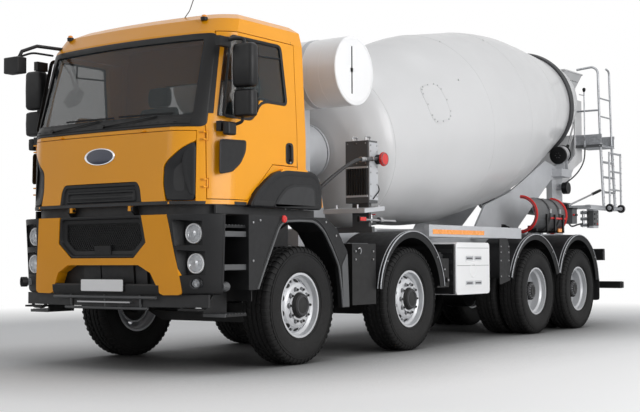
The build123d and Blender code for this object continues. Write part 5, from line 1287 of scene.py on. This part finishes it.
for z in (0.66, 0.78, 0.9, 1.02):
    tank.boxes(DARK_TRIM_AND_SHADE, (0.72, 2.918, z, 1.12, 2.926, z + 0.04))
tank.place("chassis", "white_paint", bevel=0.0015, angle=34)

unit = Shape("air_unit")
for side in (1, -1):
    unit.boxes(CHASSIS, (side * 1.0 - 0.11, 2.6, 0.64, side * 1.0 + 0.11, 2.87, 0.96),
        (side * 0.42, 2.68, 0.9, side * 0.95, 2.74, 0.95))
    for y, z, r in ((2.66, 0.99, 0.035), (2.76, 1.0, 0.045), (2.83, 0.98, 0.03)):
        unit.rods(r, PLASTIC, 20, (side * 1.02, y, 0.955, side * 1.02, y, z + 0.03))
    for y, z in ((2.66, 0.74), (2.74, 0.84), (2.82, 0.72)):
        unit.rods(0.03, PLASTIC, 20, (side * 1.105, y, z, side * 1.128, y, z))
        unit.rods(0.012, STEEL, 10, (side * 1.128, y, z, side * 1.134, y, z))
unit.boxes(AMBER, (1.085, 2.53, 1.228, 1.104, 3.75, 1.28))
unit.boxes(SILVER, (1.05, 2.53, 1.222, 1.096, 3.75, 1.286))
unit.boxes(AMBER, (1.085, 5.905, 1.3, 1.1, 6.01, 1.345), (-1.104, 2.53, 1.228, -1.085, 3.75, 1.28))
unit.place("chassis", "chassis_black", bevel=0.003)

boxes = Shape("side_box_fittings")
for side in (1, -1):
    boxes.boxes(DARK_TRIM_AND_SHADE, (side * 1.149, 0.852, 0.984, side * 1.153, 1.278, 0.99))
    for y in (0.905, 1.225):
        for z in (0.955, 1.035):
            boxes.rods(0.011, STEEL, 6, (side * 1.148, y, z, side * 1.16, y, z))
    boxes.tube([at(side * 1.156, 0.945, 1.06), at(side * 1.166, 0.975, 1.07),
        at(side * 1.166, 0.99, 1.03), at(side * 1.156, 0.985, 1.01)], 0.006, STEEL, 8, 0.02)
    for k in range(9):
        boxes.boxes(GREY, (side * (0.66 + 0.05 * k), 0.88, 1.108, side * (0.675 + 0.05 * k), 1.25,
            1.118))
for low_y, high_y in ((2.79, 3.31), (3.35, 3.87)):
    outline = rounded_box(low_y, 0.545, high_y, 1.115, 0.03)
    boxes.steps(beside, outline, ((0.0, -1.146), (0.0, -1.158), (0.008, -1.162), (0.05, -1.162),
        (0.06, -1.156)), CHASSIS, CHASSIS)
    boxes.rods(0.022, STEEL, 20, (-1.155, (low_y + high_y) / 2, 0.98, -1.175, (low_y + high_y) / 2,
        0.98))
boxes.place("chassis", "chassis_black", angle=34)

# ---------------------------------------------------------------- cooler, gearbox, water tank
cooler = Shape("cooler_fittings")
front_y = 1.36
for k in range(8):
    x = 0.765 + 0.031 * k
    cooler.boxes(BLACK, (x, front_y - 0.014, 1.61, x + 0.012, front_y + 0.002, 1.885))
cooler.boxes(SILVER, (0.748, front_y - 0.01, 1.59, 1.012, front_y + 0.002, 1.612),
    (0.748, front_y - 0.01, 1.885, 1.012, front_y + 0.002, 1.905))
cooler.boxes(GREY, (0.748, front_y - 0.006, 1.915, 1.012, front_y + 0.002, 2.16))
for x in (0.77, 0.88, 0.99):
    for z in (1.935, 2.14):
        cooler.rods(0.008, STEEL, 6, (x, front_y - 0.005, z, x, front_y - 0.014, z))
cooler.boxes(SILVER, (1.018, 1.364, 1.56, 1.03, 1.526, 2.15))
for z in (1.6, 1.72, 1.84, 1.9, 2.06, 2.12):
    for y in (1.385, 1.505):
        cooler.rods(0.009, STEEL, 6, (1.029, y, z, 1.038, y, z))
for x in (0.8, 0.96):
    cooler.tube([at(x, 1.4, 2.165), at(x, 1.4, 2.215), at(x, 1.49, 2.215), at(x, 1.49, 2.165)],
        0.009, STEEL, 8, 0.03)
valve = at(1.092, 1.508, 1.98)
cooler.revolve(valve, (1, 0, 0), ((-0.06, 0.05), (-0.004, 0.05), (-0.004, 0.062)), BLACK, 32,
    caps=False)
cooler.revolve(valve, (1, 0, 0), ((0.002, 0.066), (0.006, 0.07), (0.03, 0.069), (0.038, 0.058),
    (0.04, 0.0)), RED, 40)
for turn in turns(20):
    foot = valve + turn @ Vector((0.006, 0, 0.069))
    cooler.rod(foot, foot + Vector((0.022, 0, 0)), 0.004, RED, 6)
cooler.tube([at(1.0, 1.456, 1.819), at(1.04, 1.55, 1.669), at(1.04, 1.415, 1.571)], 0.006, BLACK, 8,
    0.05)
fitting = at(1.06, 1.159, 1.957)
along = Vector((0, 1, 0.092)).normalized()
for start, length, radius in ((-0.012, 0.02, 0.027), (0.01, 0.04, 0.023), (0.055, 0.016, 0.026),
        (0.2, 0.016, 0.026)):
    cooler.rod(fitting + along * start, fitting + along * (start + length), radius, STEEL, 6
        if length < 0.02 else 20)
# silver bracket slab under the cooler, reflector, pipe with its valve
cooler.prism([at(0.6, 1.15, 1.42), at(1.085, 1.18, 1.42), at(1.085, 1.56, 1.455),
    at(0.6, 1.56, 1.455)], (0, 0, 0.045), SILVER)
for x, y in ((0.98, 1.21), (1.05, 1.5), (0.72, 1.22), (0.75, 1.5)):
    cooler.rods(0.011, STEEL, 6, (x, y, 1.46, x, y, 1.508))
cooler.boxes(BLACK, (1.075, 1.06, 1.33, 1.1, 1.19, 1.385))
cooler.boxes(RED, (1.098, 1.072, 1.34, 1.106, 1.178, 1.376))
cooler.tube([at(1.0, 1.25, 1.36), at(1.02, 1.5, 1.352), at(1.0, 1.9, 1.352)], 0.016, STEEL, 12)
cooler.rods(0.036, STEEL, 24, (1.01, 1.56, 1.352, 1.01, 1.61, 1.352))
cooler.rods(0.014, STEEL, 12, (1.01, 1.42, 1.33, 1.01, 1.42, 1.412))
cooler.rods(0.006, RED, 8, (0.98, 1.42, 1.408, 1.06, 1.42, 1.412))
cooler.place("chassis", "dark_grey_paint", bevel=0.001, angle=34)

gear = Shape("gearbox_fittings")
for along, radius, width, bolts in ((1.742, 0.3, 0.024, 24), (1.56, 0.262, 0.03, 18),
        (1.4, 0.205, 0.022, 12)):
    gear.revolve(on_drum(along), DRUM_AXIS, ((-width, radius - 0.05), (-width, radius - 0.004),
        (-width + 0.004, radius), (-0.002, radius), (-0.002, radius - 0.05)), SILVER, 64,
        caps=False)
    for turn in turns(bolts, DRUM_AXIS):
        foot = on_drum(along - width) + turn @ (DRUM_AXIS.orthogonal().normalized()
            * (radius - 0.024))
        gear.rod(foot, foot - DRUM_AXIS * 0.016, 0.012, STEEL, 6)
gear.tube([at(0.2, 1.3, 2.1), at(0.235, 1.2, 2.22), at(0.245, 1.12, 2.3), at(0.25, 1.06, 2.4)],
    0.045, HOSE, 16, 0.08)
for x in (0.16, 0.24, 0.32):
    gear.tube([at(x, 1.33, 1.76 + x * 0.2), at(x + 0.08, 1.16, 1.7), at(x + 0.1, 0.98, 1.58),
        at(x + 0.02, 0.86, 1.44), at(x, 0.8, 1.3)], 0.02, HOSE, 12, 0.12)
    gear.rods(0.026, STEEL, 6, (x, 1.325, 1.762 + x * 0.2, x, 1.38, 1.775 + x * 0.2))
gear.place("chassis", "silver_paint", angle=34)

water = Shape("water_fittings")
mid = at(0, 1.06, 2.84)
for side in (1, -1):
    out = Vector((side, 0, 0))
    cap = mid + out * 1.052
    water.revolve(cap, out, ((-0.03, 0.3485), (-0.004, 0.3485), (0.004, 0.342), (0.008, 0.318)),
        WHITE, 72, caps=False)
    gauge = cap + out * 0.004
    water.tube([gauge + Vector((0, -0.06, -0.22)), gauge + out * 0.004 + Vector((0, -0.06, -0.24)),
        gauge + out * 0.004 + Vector((0, -0.06, 0.24)), gauge + Vector((0, -0.06, 0.22))], 0.008,
        BLACK, 8, 0.01)
    water.box(gauge + Vector((0, -0.085, -0.02)), gauge + Vector((side * 0.004, -0.035, 0.02)),
              BLACK)
for x in (-0.62, 0.62):
    water.revolve(mid + Vector((x, 0, 0)), (1, 0, 0),
        ((-0.03, 0.346), (-0.03, 0.351), (0.03, 0.351), (0.03, 0.346)), SILVER, 72, caps=False)
water.revolve(mid + Vector((0.3, 0, 0.34)), (0, 0, 1), ((0, 0.06), (0.025, 0.06), (0.032, 0.05),
    (0.034, 0.0)), BLACK, 28)
for x in (-0.85, 0.85):
    water.revolve(mid + Vector((x, 0, 0)), (1, 0, 0),
        ((-0.004, 0.3462), (0, 0.3482), (0.004, 0.3462)), WHITE, 72, caps=False)
water.place("chassis", "white_paint", angle=34)

# ---------------------------------------------------------------- hoppers
MOUTH = 7.76                 # the drum's mouth, behind the front axle


def rim(half, front, rear, z, radius, segments):
    """Bars along a level rectangle, by half width and distances behind the front axle."""
    corners = [at(-half, front, z), at(half, front, z), at(half, rear, z), at(-half, rear, z)]
    for first, second in zip(corners, corners[1:] + corners[:1]):
        hopper.rod(first, second, radius, DRUM, segments)


hopper = Shape("hopper_rims")
for half, front, rear, z, radius in ((0.43, MOUTH - 0.02, MOUTH + 0.64, 3.76, 0.013),
        (0.21, MOUTH + 0.14, MOUTH + 0.4, 3.172, 0.008), (0.45, MOUTH + 0.19, MOUTH + 0.67, 2.78,
        0.013), (0.19, MOUTH + 0.25, MOUTH + 0.56, 2.052, 0.008)):
    rim(half, front, rear, z, radius, 12)
for share in (0.3, 0.62):
    rim(0.214 + 0.22 * share, MOUTH + 0.136 - 0.16 * share, MOUTH + 0.404 + 0.24 * share,
        3.17 + 0.59 * share, 0.006, 8)
for side in (1, -1):
    for row in range(5):
        for k in range(4 + row):
            share = 0.2 + 0.15 * row
            half = 0.21 + 0.22 * share
            y = MOUTH + 0.2 + 0.06 * k - 0.02 * row
            foot = at(side * (half + 0.001), y, 3.17 + 0.59 * share)
            hopper.rod(foot, foot + Vector((side * 0.003, 0, 0.001)), 0.011, DARK_TRIM_AND_SHADE, 10)
    for y in (MOUTH + 0.2, MOUTH + 0.46):
        hopper.prism([at(side * 0.205, y, 2.2), at(side * 0.3, y, 2.4), at(side * 0.47, y, 2.8),
            at(side * 0.452, y, 2.8), at(side * 0.28, y, 2.36), at(side * 0.192, y, 2.14)],
            (0, 0.006, 0), DRUM)
hopper.tube([at(0.455, 8.02, 3.02), at(0.47, 7.88, 2.86), at(0.48, 7.7, 2.62)], 0.014, STEEL, 10,
    0.04)
hopper.rods(0.024, BLACK, 14, (0.482, 7.7, 2.62, 0.484, 7.64, 2.54))
hopper.place("chassis", "drum_paint", angle=34)

# ---------------------------------------------------------------- ladder and platform
stairs = Shape("platform_fittings")
for k in range(14):
    y = 7.99 + 0.034 * k
    stairs.boxes(ZINC, (0.5, y, 2.612, 0.895, y + 0.01, 2.63))
for k in range(9):
    x = 0.51 + 0.045 * k
    stairs.boxes(ZINC, (x, 7.985, 2.612, x + 0.008, 8.465, 2.626))
stairs.boxes(ZINC, (0.49, 7.97, 2.745, 0.9, 7.976, 2.79), (0.49, 8.474, 2.745, 0.9, 8.48, 2.79))
stairs.boxes(GREY, (0.49, 7.968, 2.596, 0.902, 7.975, 2.64))
for z in (3.06, 3.33):
    stairs.rods(0.011, ZINC, 12, (0.853, 8.0, z, 0.848, 8.45, z))
for y in (8.0, 8.45):
    for z in (2.612, 2.64):
        stairs.rods(0.034, ZINC, 20, (0.866, y, z, 0.866, y, z + 0.01))
knob = at(0.64, 7.955, 3.44)
stairs.revolve(knob, (0, 0, 1), ((-0.01, 0.012), (0.01, 0.022), (0.035, 0.026), (0.052, 0.016),
    (0.056, 0.0)), BLACK, 20)
stairs.rods(0.007, STEEL, 8, (0.64, 7.955, 3.38, 0.56, 7.955, 3.4))
stairs.rods(0.02, STEEL, 12, (0.64, 7.945, 2.735, 0.64, 7.965, 2.735))
stairs.place("chassis", "galvanised", bevel=0.001, angle=34)

rungs = Shape("rung_treads")


def on_ladder(share):
    """Sideways place and height of the ladder's rail, at a share of its length."""
    return 0.905 - 0.037 * share, 1.7 + 0.8988 * share


for share in (0.25, 0.5, 0.75):
    x, z = on_ladder(share)
    rungs.boxes(SILVER, (x - 0.022, 8.01, z - 0.012, x + 0.022, 8.44, z + 0.016))
    for k in range(9):
        rungs.rods(0.009, DARK_TRIM_AND_SHADE, 10, (x + 0.022, 8.04 + 0.046 * k, z + 0.002, x + 0.0235,
            8.04 + 0.046 * k, z + 0.002))
for y in (7.998, 8.452):
    for k in range(9):
        x, z = on_ladder(0.06 + 0.108 * k)
        rungs.rods(0.008, DARK_TRIM_AND_SHADE, 10, (x + 0.017, y, z, x + 0.0215, y, z))
rungs.boxes(SILVER, (0.865, 7.4, 1.655, 0.935, 8.477, 1.668),
    (0.865, 7.4, 1.707, 0.935, 8.477, 1.72))
rungs.boxes(GREY, (0.803, 7.596, 1.42, 0.903, 7.794, 1.64))
for z in (1.45, 1.52, 1.59):
    rungs.rods(0.016, BLACK, 16, (0.9, 7.64, z, 0.91, 7.64, z))
    rungs.rods(0.012, RED if z < 1.5 else STEEL, 16, (0.9, 7.74, z, 0.91, 7.74, z))
rungs.place("chassis", "silver_paint", bevel=0.001, angle=34)

folded = Shape("lower_rungs")
for y in (8.0, 8.45):
    hinge = at(0.998, y, 1.688)
    folded.revolve(hinge, (0, 1, 0), ((-0.0165, 0.03), (-0.0165, 0.058), (-0.012, 0.0625),
        (0.012, 0.0625), (0.0165, 0.058), (0.0165, 0.03)), BLACK, 40, caps=False)
    for face in (1, -1):
        folded.rod(hinge + Vector((0, face * 0.0165, 0)), hinge + Vector((0, face * 0.028, 0)),
            0.018, STEEL, 6)
    for k in range(9):
        z = 1.79 + 0.085 * k
        folded.rods(0.0075, DARK_TRIM_AND_SHADE, 10, (1.0115, y, z, 1.013, y, z))
for z in (1.958, 2.228, 2.498):
    folded.boxes(SILVER, (0.98, 8.012, z - 0.01, 1.018, 8.438, z + 0.012))
    for k in range(9):
        folded.rods(0.008, DARK_TRIM_AND_SHADE, 10, (1.018, 8.04 + 0.046 * k, z, 1.0195, 8.04 + 0.046 * k, z))
folded.place("lower_ladder", "silver_paint", bevel=0.001, angle=34)

# ---------------------------------------------------------------- chutes
extension = Shape("extension_rims")
hub_x, hub_z = 0.85, 1.5253



def round_hub(y, radius, low=-90, high=91, step=9):
    """Points round the stowed chute, over its outer side."""
    return [at(hub_x + radius * cos(radians(a)), y, hub_z + radius * sin(radians(a)))
        for a in range(low, high, step)]


extension.sheet([round_hub(y, 0.225) for y in (5.262, 6.219)], SHELL, (-0.003, 0, 0))
for y in (5.262, 6.195):
    extension.sheet([round_hub(y, radius) for radius in (0.205, 0.236)], RED, (0, 0.024, 0))
    extension.tube(round_hub(y + 0.012, 0.236), 0.012, RED, 8, 0.001)
extension.rods(0.014, RED, 10, (hub_x + 0.222, 5.7, hub_z - 0.045, hub_x + 0.222, 6.2,
    hub_z - 0.045))
for y in (5.66, 5.96):
    extension.sheet([round_hub(end, 0.231, -80, 116, 8) for end in (y, y + 0.04)], BLACK,
        (0.003, 0, 0.001))
    extension.boxes(STEEL, (hub_x + 0.222, y - 0.006, hub_z + 0.02, hub_x + 0.243, y + 0.046,
        hub_z + 0.075))
for y in (5.55, 5.8, 6.06):
    extension.boxes(BLACK, (1.074, y, 1.3, 1.098, y + 0.035, 1.53),
        (0.86, y, 1.29, 1.098, y + 0.035, 1.312))
for y in (5.3, 6.1):
    extension.prism([at(0.56, y, 1.302), at(1.06, y, 1.302), at(1.06, y, 1.345), at(0.94, y, 1.322),
        at(0.76, y, 1.318), at(0.6, y, 1.4), at(0.56, y, 1.4)], (0, 0.03, 0), BLACK)
extension.place("chassis", "dark_grey_paint", angle=40)
dress_node("extension_chute", GREY)

controls = Shape("rear_controls")
controls.boxes(GREY, (0.7, 7.0, 1.44, 0.83, 7.17, 1.66))
controls.boxes(PLASTIC, (0.69, 6.99, 1.645, 0.84, 7.18, 1.665))
controls.boxes(CHASSIS, (0.345, 7.04, 1.47, 0.7, 7.12, 1.52))
for y in (7.03, 7.085, 7.14):
    controls.rods(0.013, RED if y < 7.05 else BLACK, 14, (0.828, y, 1.56, 0.85, y, 1.57))
controls.rods(0.013, STEEL, 12, (0.64, 7.26, 1.7, 0.76, 8.18, 1.955))
controls.rods(0.022, BLACK, 14, (0.735, 7.99, 1.902, 0.765, 8.22, 1.966))
controls.boxes(CHASSIS, (0.43, 7.23, 1.67, 0.66, 7.29, 1.72))
controls.rods(0.085, BLACK, 28, (0.56, 7.33, 1.965, 0.64, 7.33, 1.965))
controls.rods(0.028, STEEL, 16, (0.43, 7.33, 1.965, 0.6, 7.33, 1.965))
controls.rods(0.02, STEEL, 14, (0.78, 7.52, 1.4, 0.78, 7.52, 1.64))
for z in (1.43, 1.52, 1.61):
    controls.rods(0.024, ZINC, 14, (0.74, 7.52, z, 0.85, 7.52, z))
    controls.rods(0.03, BLACK, 14, (0.85, 7.52, z, 0.862, 7.52, z))
controls.tube([at(0.7, 7.08, 1.5), at(0.69, 7.3, 1.4), at(0.74, 7.42, 1.44), at(0.77, 7.52, 1.45)],
    0.012, HOSE, 10, 0.08)
controls.place("chassis", "dark_grey_paint", bevel=0.002, angle=34)

chute = Shape("chute_rims")
for side in (1, -1):
    start = Vector((0.257, 4.66 + side * 0.2175, 1.784))
    end = Vector((-1.116, 4.66 + side * 0.2175, 1.977))
    chute.rod(start, end, 0.0095, SILVER, 12)
for share in (0.02, 0.33, 0.66, 0.97):
    centre = Vector((0.257, 4.66, 1.766)).lerp(Vector((-1.116, 4.66, 1.959)), share)
    ring = []
    for a in range(180, 361, 12):
        ring.append(centre + Vector((0, 0.2235 * cos(radians(a)), 0.2235 * sin(radians(a)))))
    rows = [[p + Vector((dx, 0, 0)) for p in ring] for dx in (-0.012, 0.012)]
    chute.sheet(rows, SILVER, (0, 0, -0.004))
chute.place("main_chute", "dark_grey_paint", angle=40)

# ---------------------------------------------------------------- rear end
tail = Shape("tail_fittings")
for side in (1, -1):
    tail.boxes(BLACK, (side * 0.85, 7.44, 0.92, side * 1.1, 7.515, 1.05))
    for k, finish in enumerate((RED, AMBER, RED, WHITE)):
        x = 0.868 + 0.055 * k
        tail.boxes(finish, (side * x, 7.512, 0.935, side * (x + 0.047), 7.524, 1.035))
    end = at(side * 1.146, 8.035, 0.56)
    tail.rod(end + Vector((0, 0, -0.045)), end + Vector((0, 0, 0.045)), 0.03, CHASSIS, 20)
    tail.boxes(RED, (side * 0.98 - 0.1, 8.056, 0.545, side * 0.98 + 0.1, 8.0595, 0.595))
    for y in (7.3, 7.62, 7.9):
        tail.rods(0.013, STEEL, 6, (side * 0.428, y, 0.95, side * 0.442, y, 0.95))
tail.boxes(BLACK, (-0.26, 8.056, 0.525, 0.26, 8.0598, 0.605))
for side in (1, -1):
    for y in [0.2 + 0.31 * k for k in range(24)]:
        for z in (0.86, 1.03):
            tail.rods(0.012, STEEL, 6, (side * 0.4245, y, z, side * 0.436, y, z))
tail.place("chassis", "chassis_black", bevel=0.001)

track = Shape("roller_guards")
ring_mid = on_drum(TRACK_AT)
for side in (1, -1):
    down = Vector((0, sin(TILT), -cos(TILT)))
    middle = ring_mid + Vector((side, 0, 0)) * 0.5193 + down * 0.7416
    for face in (1, -1):
        foot = middle + DRUM_AXIS * face * 0.074
        track.rod(foot, foot + DRUM_AXIS * face * 0.012, 0.05, IRON, 24)
        track.rod(foot + DRUM_AXIS * face * 0.014, foot + DRUM_AXIS * face * 0.02, 0.128, BLACK, 40)
        for turn in turns(6, DRUM_AXIS):
            bolt = foot + turn @ (Vector((1, 0, 0)) * 0.036)
            track.rod(bolt + DRUM_AXIS * face * 0.01, bolt + DRUM_AXIS * face * 0.02, 0.007, STEEL,
                6)
track.place("chassis", "silver_paint")

# ---------------------------------------------------------------- seats
SEAT_FLOOR = 1.462
base = Shape("seat_bases")
for x in (0.56, -0.56):
    base.boxes(IRON, (x - 0.165, -0.425, SEAT_FLOOR, x + 0.165, -0.115, 1.52))
    for k in range(5):
        grow = 0.006 * (k % 2)
        base.boxes(PLASTIC, (x - 0.15 - grow, -0.41 - grow, 1.52 + 0.048 * k, x + 0.15 + grow,
            -0.13 + grow, 1.568 + 0.048 * k))
    base.boxes(PLASTIC, (x - 0.178, -0.438, 1.76, x + 0.178, -0.102, 1.8))
    for side in (1, -1):
        base.rods(0.007, STEEL, 12, (x + side * 0.07, -0.034, 2.44, x + side * 0.07, -0.034, 2.53))
base.place("cab", "seat_fabric", ("seats",), bevel=0.002)
# middle of each pad's foot, half width, half thickness, height, lean rearwards, lies flat
PADS = (("cushion", -0.28, 1.802, 0.248, 0.236, 0.118, 0.0),
    ("backrest", -0.079, 1.924, 0.246, 0.049, 0.552, 0.04), ("headrest", -0.037, 2.484, 0.128, 0.04,
    0.194, 0.006))
for name, x in (("driver", 0.56), ("mate", -0.56)):
    for part, foot_y, foot_z, half, thick, tall, lean in PADS:
        pad = Shape(f"{name}_{part}")
        low, high = (-half, foot_y - thick, foot_z), (half, foot_y + thick, foot_z + tall)
        wide, long, tall = (high[k] - low[k] for k in range(3))
        steps = 10
        grid = {}
        for i in range(steps + 1):
            for j in range(steps + 1):
                for k in range(steps + 1):
                    if 0 < i < steps and 0 < j < steps and 0 < k < steps:
                        continue
                    u, v, w = (2 * a / steps - 1 for a in (i, j, k))
                    shrink = [1 - 0.16 * (abs(b) ** 4) * (abs(c) ** 4) - 0.05 * (b * b + c * c) / 2
                              for b, c in ((v, w), (u, w), (u, v))]
                    point = Vector((u * wide / 2 * shrink[0], v * long / 2 * shrink[1],
                        w * tall / 2 * shrink[2]))
                    grid[i, j, k] = point
        names = {key: place for place, key in enumerate(grid)}
        faces = []
        for a in range(steps):
            for b in range(steps):
                for fixed in (0, steps):
                    quad = (a, b, fixed), (a + 1, b, fixed), (a + 1, b + 1, fixed), (a, b + 1,
                        fixed)
                    for order in ((0, 1, 2), (0, 2, 1), (2, 0, 1)):
                        faces.append(tuple(names[tuple(corner[k] for k in order)]
                            for corner in quad))
        middle = at(x, (low[1] + high[1]) / 2, (low[2] + high[2]) / 2)
        pad.skin([middle + point + Vector((0, lean * (0.5 + point.z / tall), 0))
            for point in grid.values()], faces, FABRIC)
        piece = pad.place("cab", "seat_fabric", ("seats",), angle=80)
        rounding = piece.modifiers.new("round", "SUBSURF")
        rounding.levels = rounding.render_levels = 1

# ---------------------------------------------------------------- cords
HOSE_ROUTE = ((0.385, 0.52, 1.25), (0.48, 0.52, 1.25), (0.59, 0.53, 1.31), (0.69, 0.545, 1.385),
    (0.775, 0.563, 1.47), (0.85, 0.585, 1.555), (0.915, 0.612, 1.63), (0.965, 0.66, 1.7),
    (1.0, 0.763, 1.777), (1.03, 0.89, 1.859), (1.052, 0.985, 1.907), (1.06, 1.083, 1.95),
    (1.06, 1.159, 1.957))
CABLE_ROUTE = ((0.64, 7.955, 2.6), (0.64, 7.955, 2.51), (0.625, 7.958, 2.41), (0.6, 7.915, 2.31),
    (0.572, 7.825, 2.215), (0.548, 7.72, 2.145), (0.525, 7.6, 2.085), (0.505, 7.49, 2.04),
    (0.497, 7.43, 2.022))


def lay_cord(name, route, diameter, replaced):
    """A cord along its route as a smooth curve."""
    curve = bpy.data.curves.new(name, "CURVE")
    curve.dimensions = "3D"
    curve.bevel_depth = diameter / 2
    curve.bevel_resolution = 5
    curve.use_fill_caps = True
    line = curve.splines.new("NURBS")
    line.points.add(len(route) - 1)
    for point, place in zip(line.points, route):
        point.co = (*at(*place), 1)
    line.order_u = 3
    line.use_endpoint_u = True
    line.resolution_u = 10
    curve.materials.append(HOSE)
    piece = bpy.data.objects.new(name, curve)
    bpy.context.scene.collection.objects.link(piece)
    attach(piece, "chassis")
    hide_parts(replaced)
    return piece


hose = lay_cord("hydraulic_hose", HOSE_ROUTE, 0.036, "cooler_hose")
cable = lay_cord("lever_cable", CABLE_ROUTE, 0.02, "control_cable")


# ---------------------------------------------------------------- floor, light, camera
WHITE_LEVEL = 1.0


def make_floor():
    """A pale floor that keeps the shadow and fades into the background further out; ambient
    occlusion darkens its colour under and near the truck as painted shadow.
    """
    size = 120
    mesh = bpy.data.meshes.new("floor")
    mesh.from_pydata([(-size, -size, 0), (size, -size, 0), (size, size, 0), (-size, size, 0)], [],
        [(0, 1, 2, 3)])
    floor = bpy.data.objects.new("floor", mesh)
    bpy.context.scene.collection.objects.link(floor)
    material, tree, principled, place = new_material("floor")
    # Ambient occlusion darkens the floor's colour under and near the truck: painted shadow.
    near = node(tree, "AmbientOcclusion", [("Distance", 2.2)])
    near.samples = 8
    depth = node(tree, "Math", [(1, 1.7)], [(0, near.outputs["AO"])])
    depth.operation = "POWER"
    tree.links.new(blend_colours(tree, depth.outputs[0], (0.05, 0.05, 0.05), (0.92, 0.92, 0.92)),
                   principled.inputs["Base Color"])
    principled.inputs["Roughness"].default_value = 0.75
    principled.inputs["Specular IOR Level"].default_value = 0.15
    glow = node(tree, "Emission", [("Color", (1, 1, 1, 1)), ("Strength", WHITE_LEVEL)])
    ray = node(tree, "LightPath")
    away = node(tree, "VectorMath", links=[(0, place)])
    away.operation = "LENGTH"
    far = remap(tree, away.outputs["Value"], 0, 1, 6.5, 12.0)
    seen = node(tree, "Math", links=[(0, far), (1, ray.outputs["Is Camera Ray"])])
    seen.operation = "MULTIPLY"
    mix = node(tree, "MixShader",
               links=[(0, seen.outputs[0]), (1, principled.outputs[0]), (2, glow.outputs[0])])
    tree.links.new(mix.outputs[0], tree.nodes["Material Output"].inputs["Surface"])
    mesh.materials.append(material)


def make_world():
    """Soft even light from all round, and a white background for what looks at it or mirrors it."""
    world = bpy.data.worlds.new("studio")
    bpy.context.scene.world = world
    world.use_nodes = True
    tree = world.node_tree
    tree.nodes.clear()
    ray = node(tree, "LightPath")
    soft = node(tree, "Background", [("Color", (0.95, 0.97, 1.0, 1)), ("Strength", 0.34)])
    white = node(tree, "Background", [("Color", (1, 1, 1, 1)), ("Strength", WHITE_LEVEL)])
    shown = ray.outputs["Is Camera Ray"]
    for kind in ("Is Glossy Ray", "Is Transmission Ray"):
        either = node(tree, "Math", links=[(0, shown), (1, ray.outputs[kind])])
        either.operation = "MAXIMUM"
        shown = either.outputs[0]
    mix = node(tree, "MixShader", links=[(0, shown), (1, soft.outputs[0]), (2, white.outputs[0])])
    node(tree, "OutputWorld", links=[("Surface", mix.outputs[0])])


def area_light(name, place, target, size, power):
    """A soft square lamp that faces a target point."""
    lamp = bpy.data.lights.new(name, "AREA")
    lamp.size = size
    lamp.energy = power
    holder = bpy.data.objects.new(name, lamp)
    holder.location = place
    holder.rotation_euler = (Vector(target) - Vector(place)).to_track_quat("-Z", "Y").to_euler()
    bpy.context.scene.collection.objects.link(holder)


def make_camera():
    """The camera stands at the truck's left front, a little lower than its bumper's top."""
    azimuth, elevation, roll = radians(34.869), radians(-2.512), radians(-0.295)
    back = Vector((sin(azimuth) * cos(elevation), -cos(azimuth) * cos(elevation), sin(elevation)))
    right = UP.cross(back).normalized()
    up = back.cross(right)
    turned = cos(roll) * right + sin(roll) * up, cos(roll) * up - sin(roll) * right
    camera = bpy.data.cameras.new("camera")
    camera.sensor_width = 36
    camera.lens = 67.2
    holder = bpy.data.objects.new("camera", camera)
    axes = Matrix((*turned, back)).transposed().to_4x4()
    holder.matrix_world = Matrix.Translation((7.552, -12.322, 0.967)) @ axes
    bpy.context.scene.collection.objects.link(holder)
    bpy.context.scene.camera = holder


make_floor()
make_world()
area_light("key", (12.0, -3.5, 4.8), (0, 0.0, 1.6), 8.0, 1000)
area_light("front", (-2.0, -14.0, 6.0), (0, -4.0, 1.5), 6.0, 140)
area_light("top", (0.0, 1.0, 12.0), (0, 1.0, 0), 9.0, 230)
make_camera()
bpy.context.scene.view_settings.view_transform = "Standard"
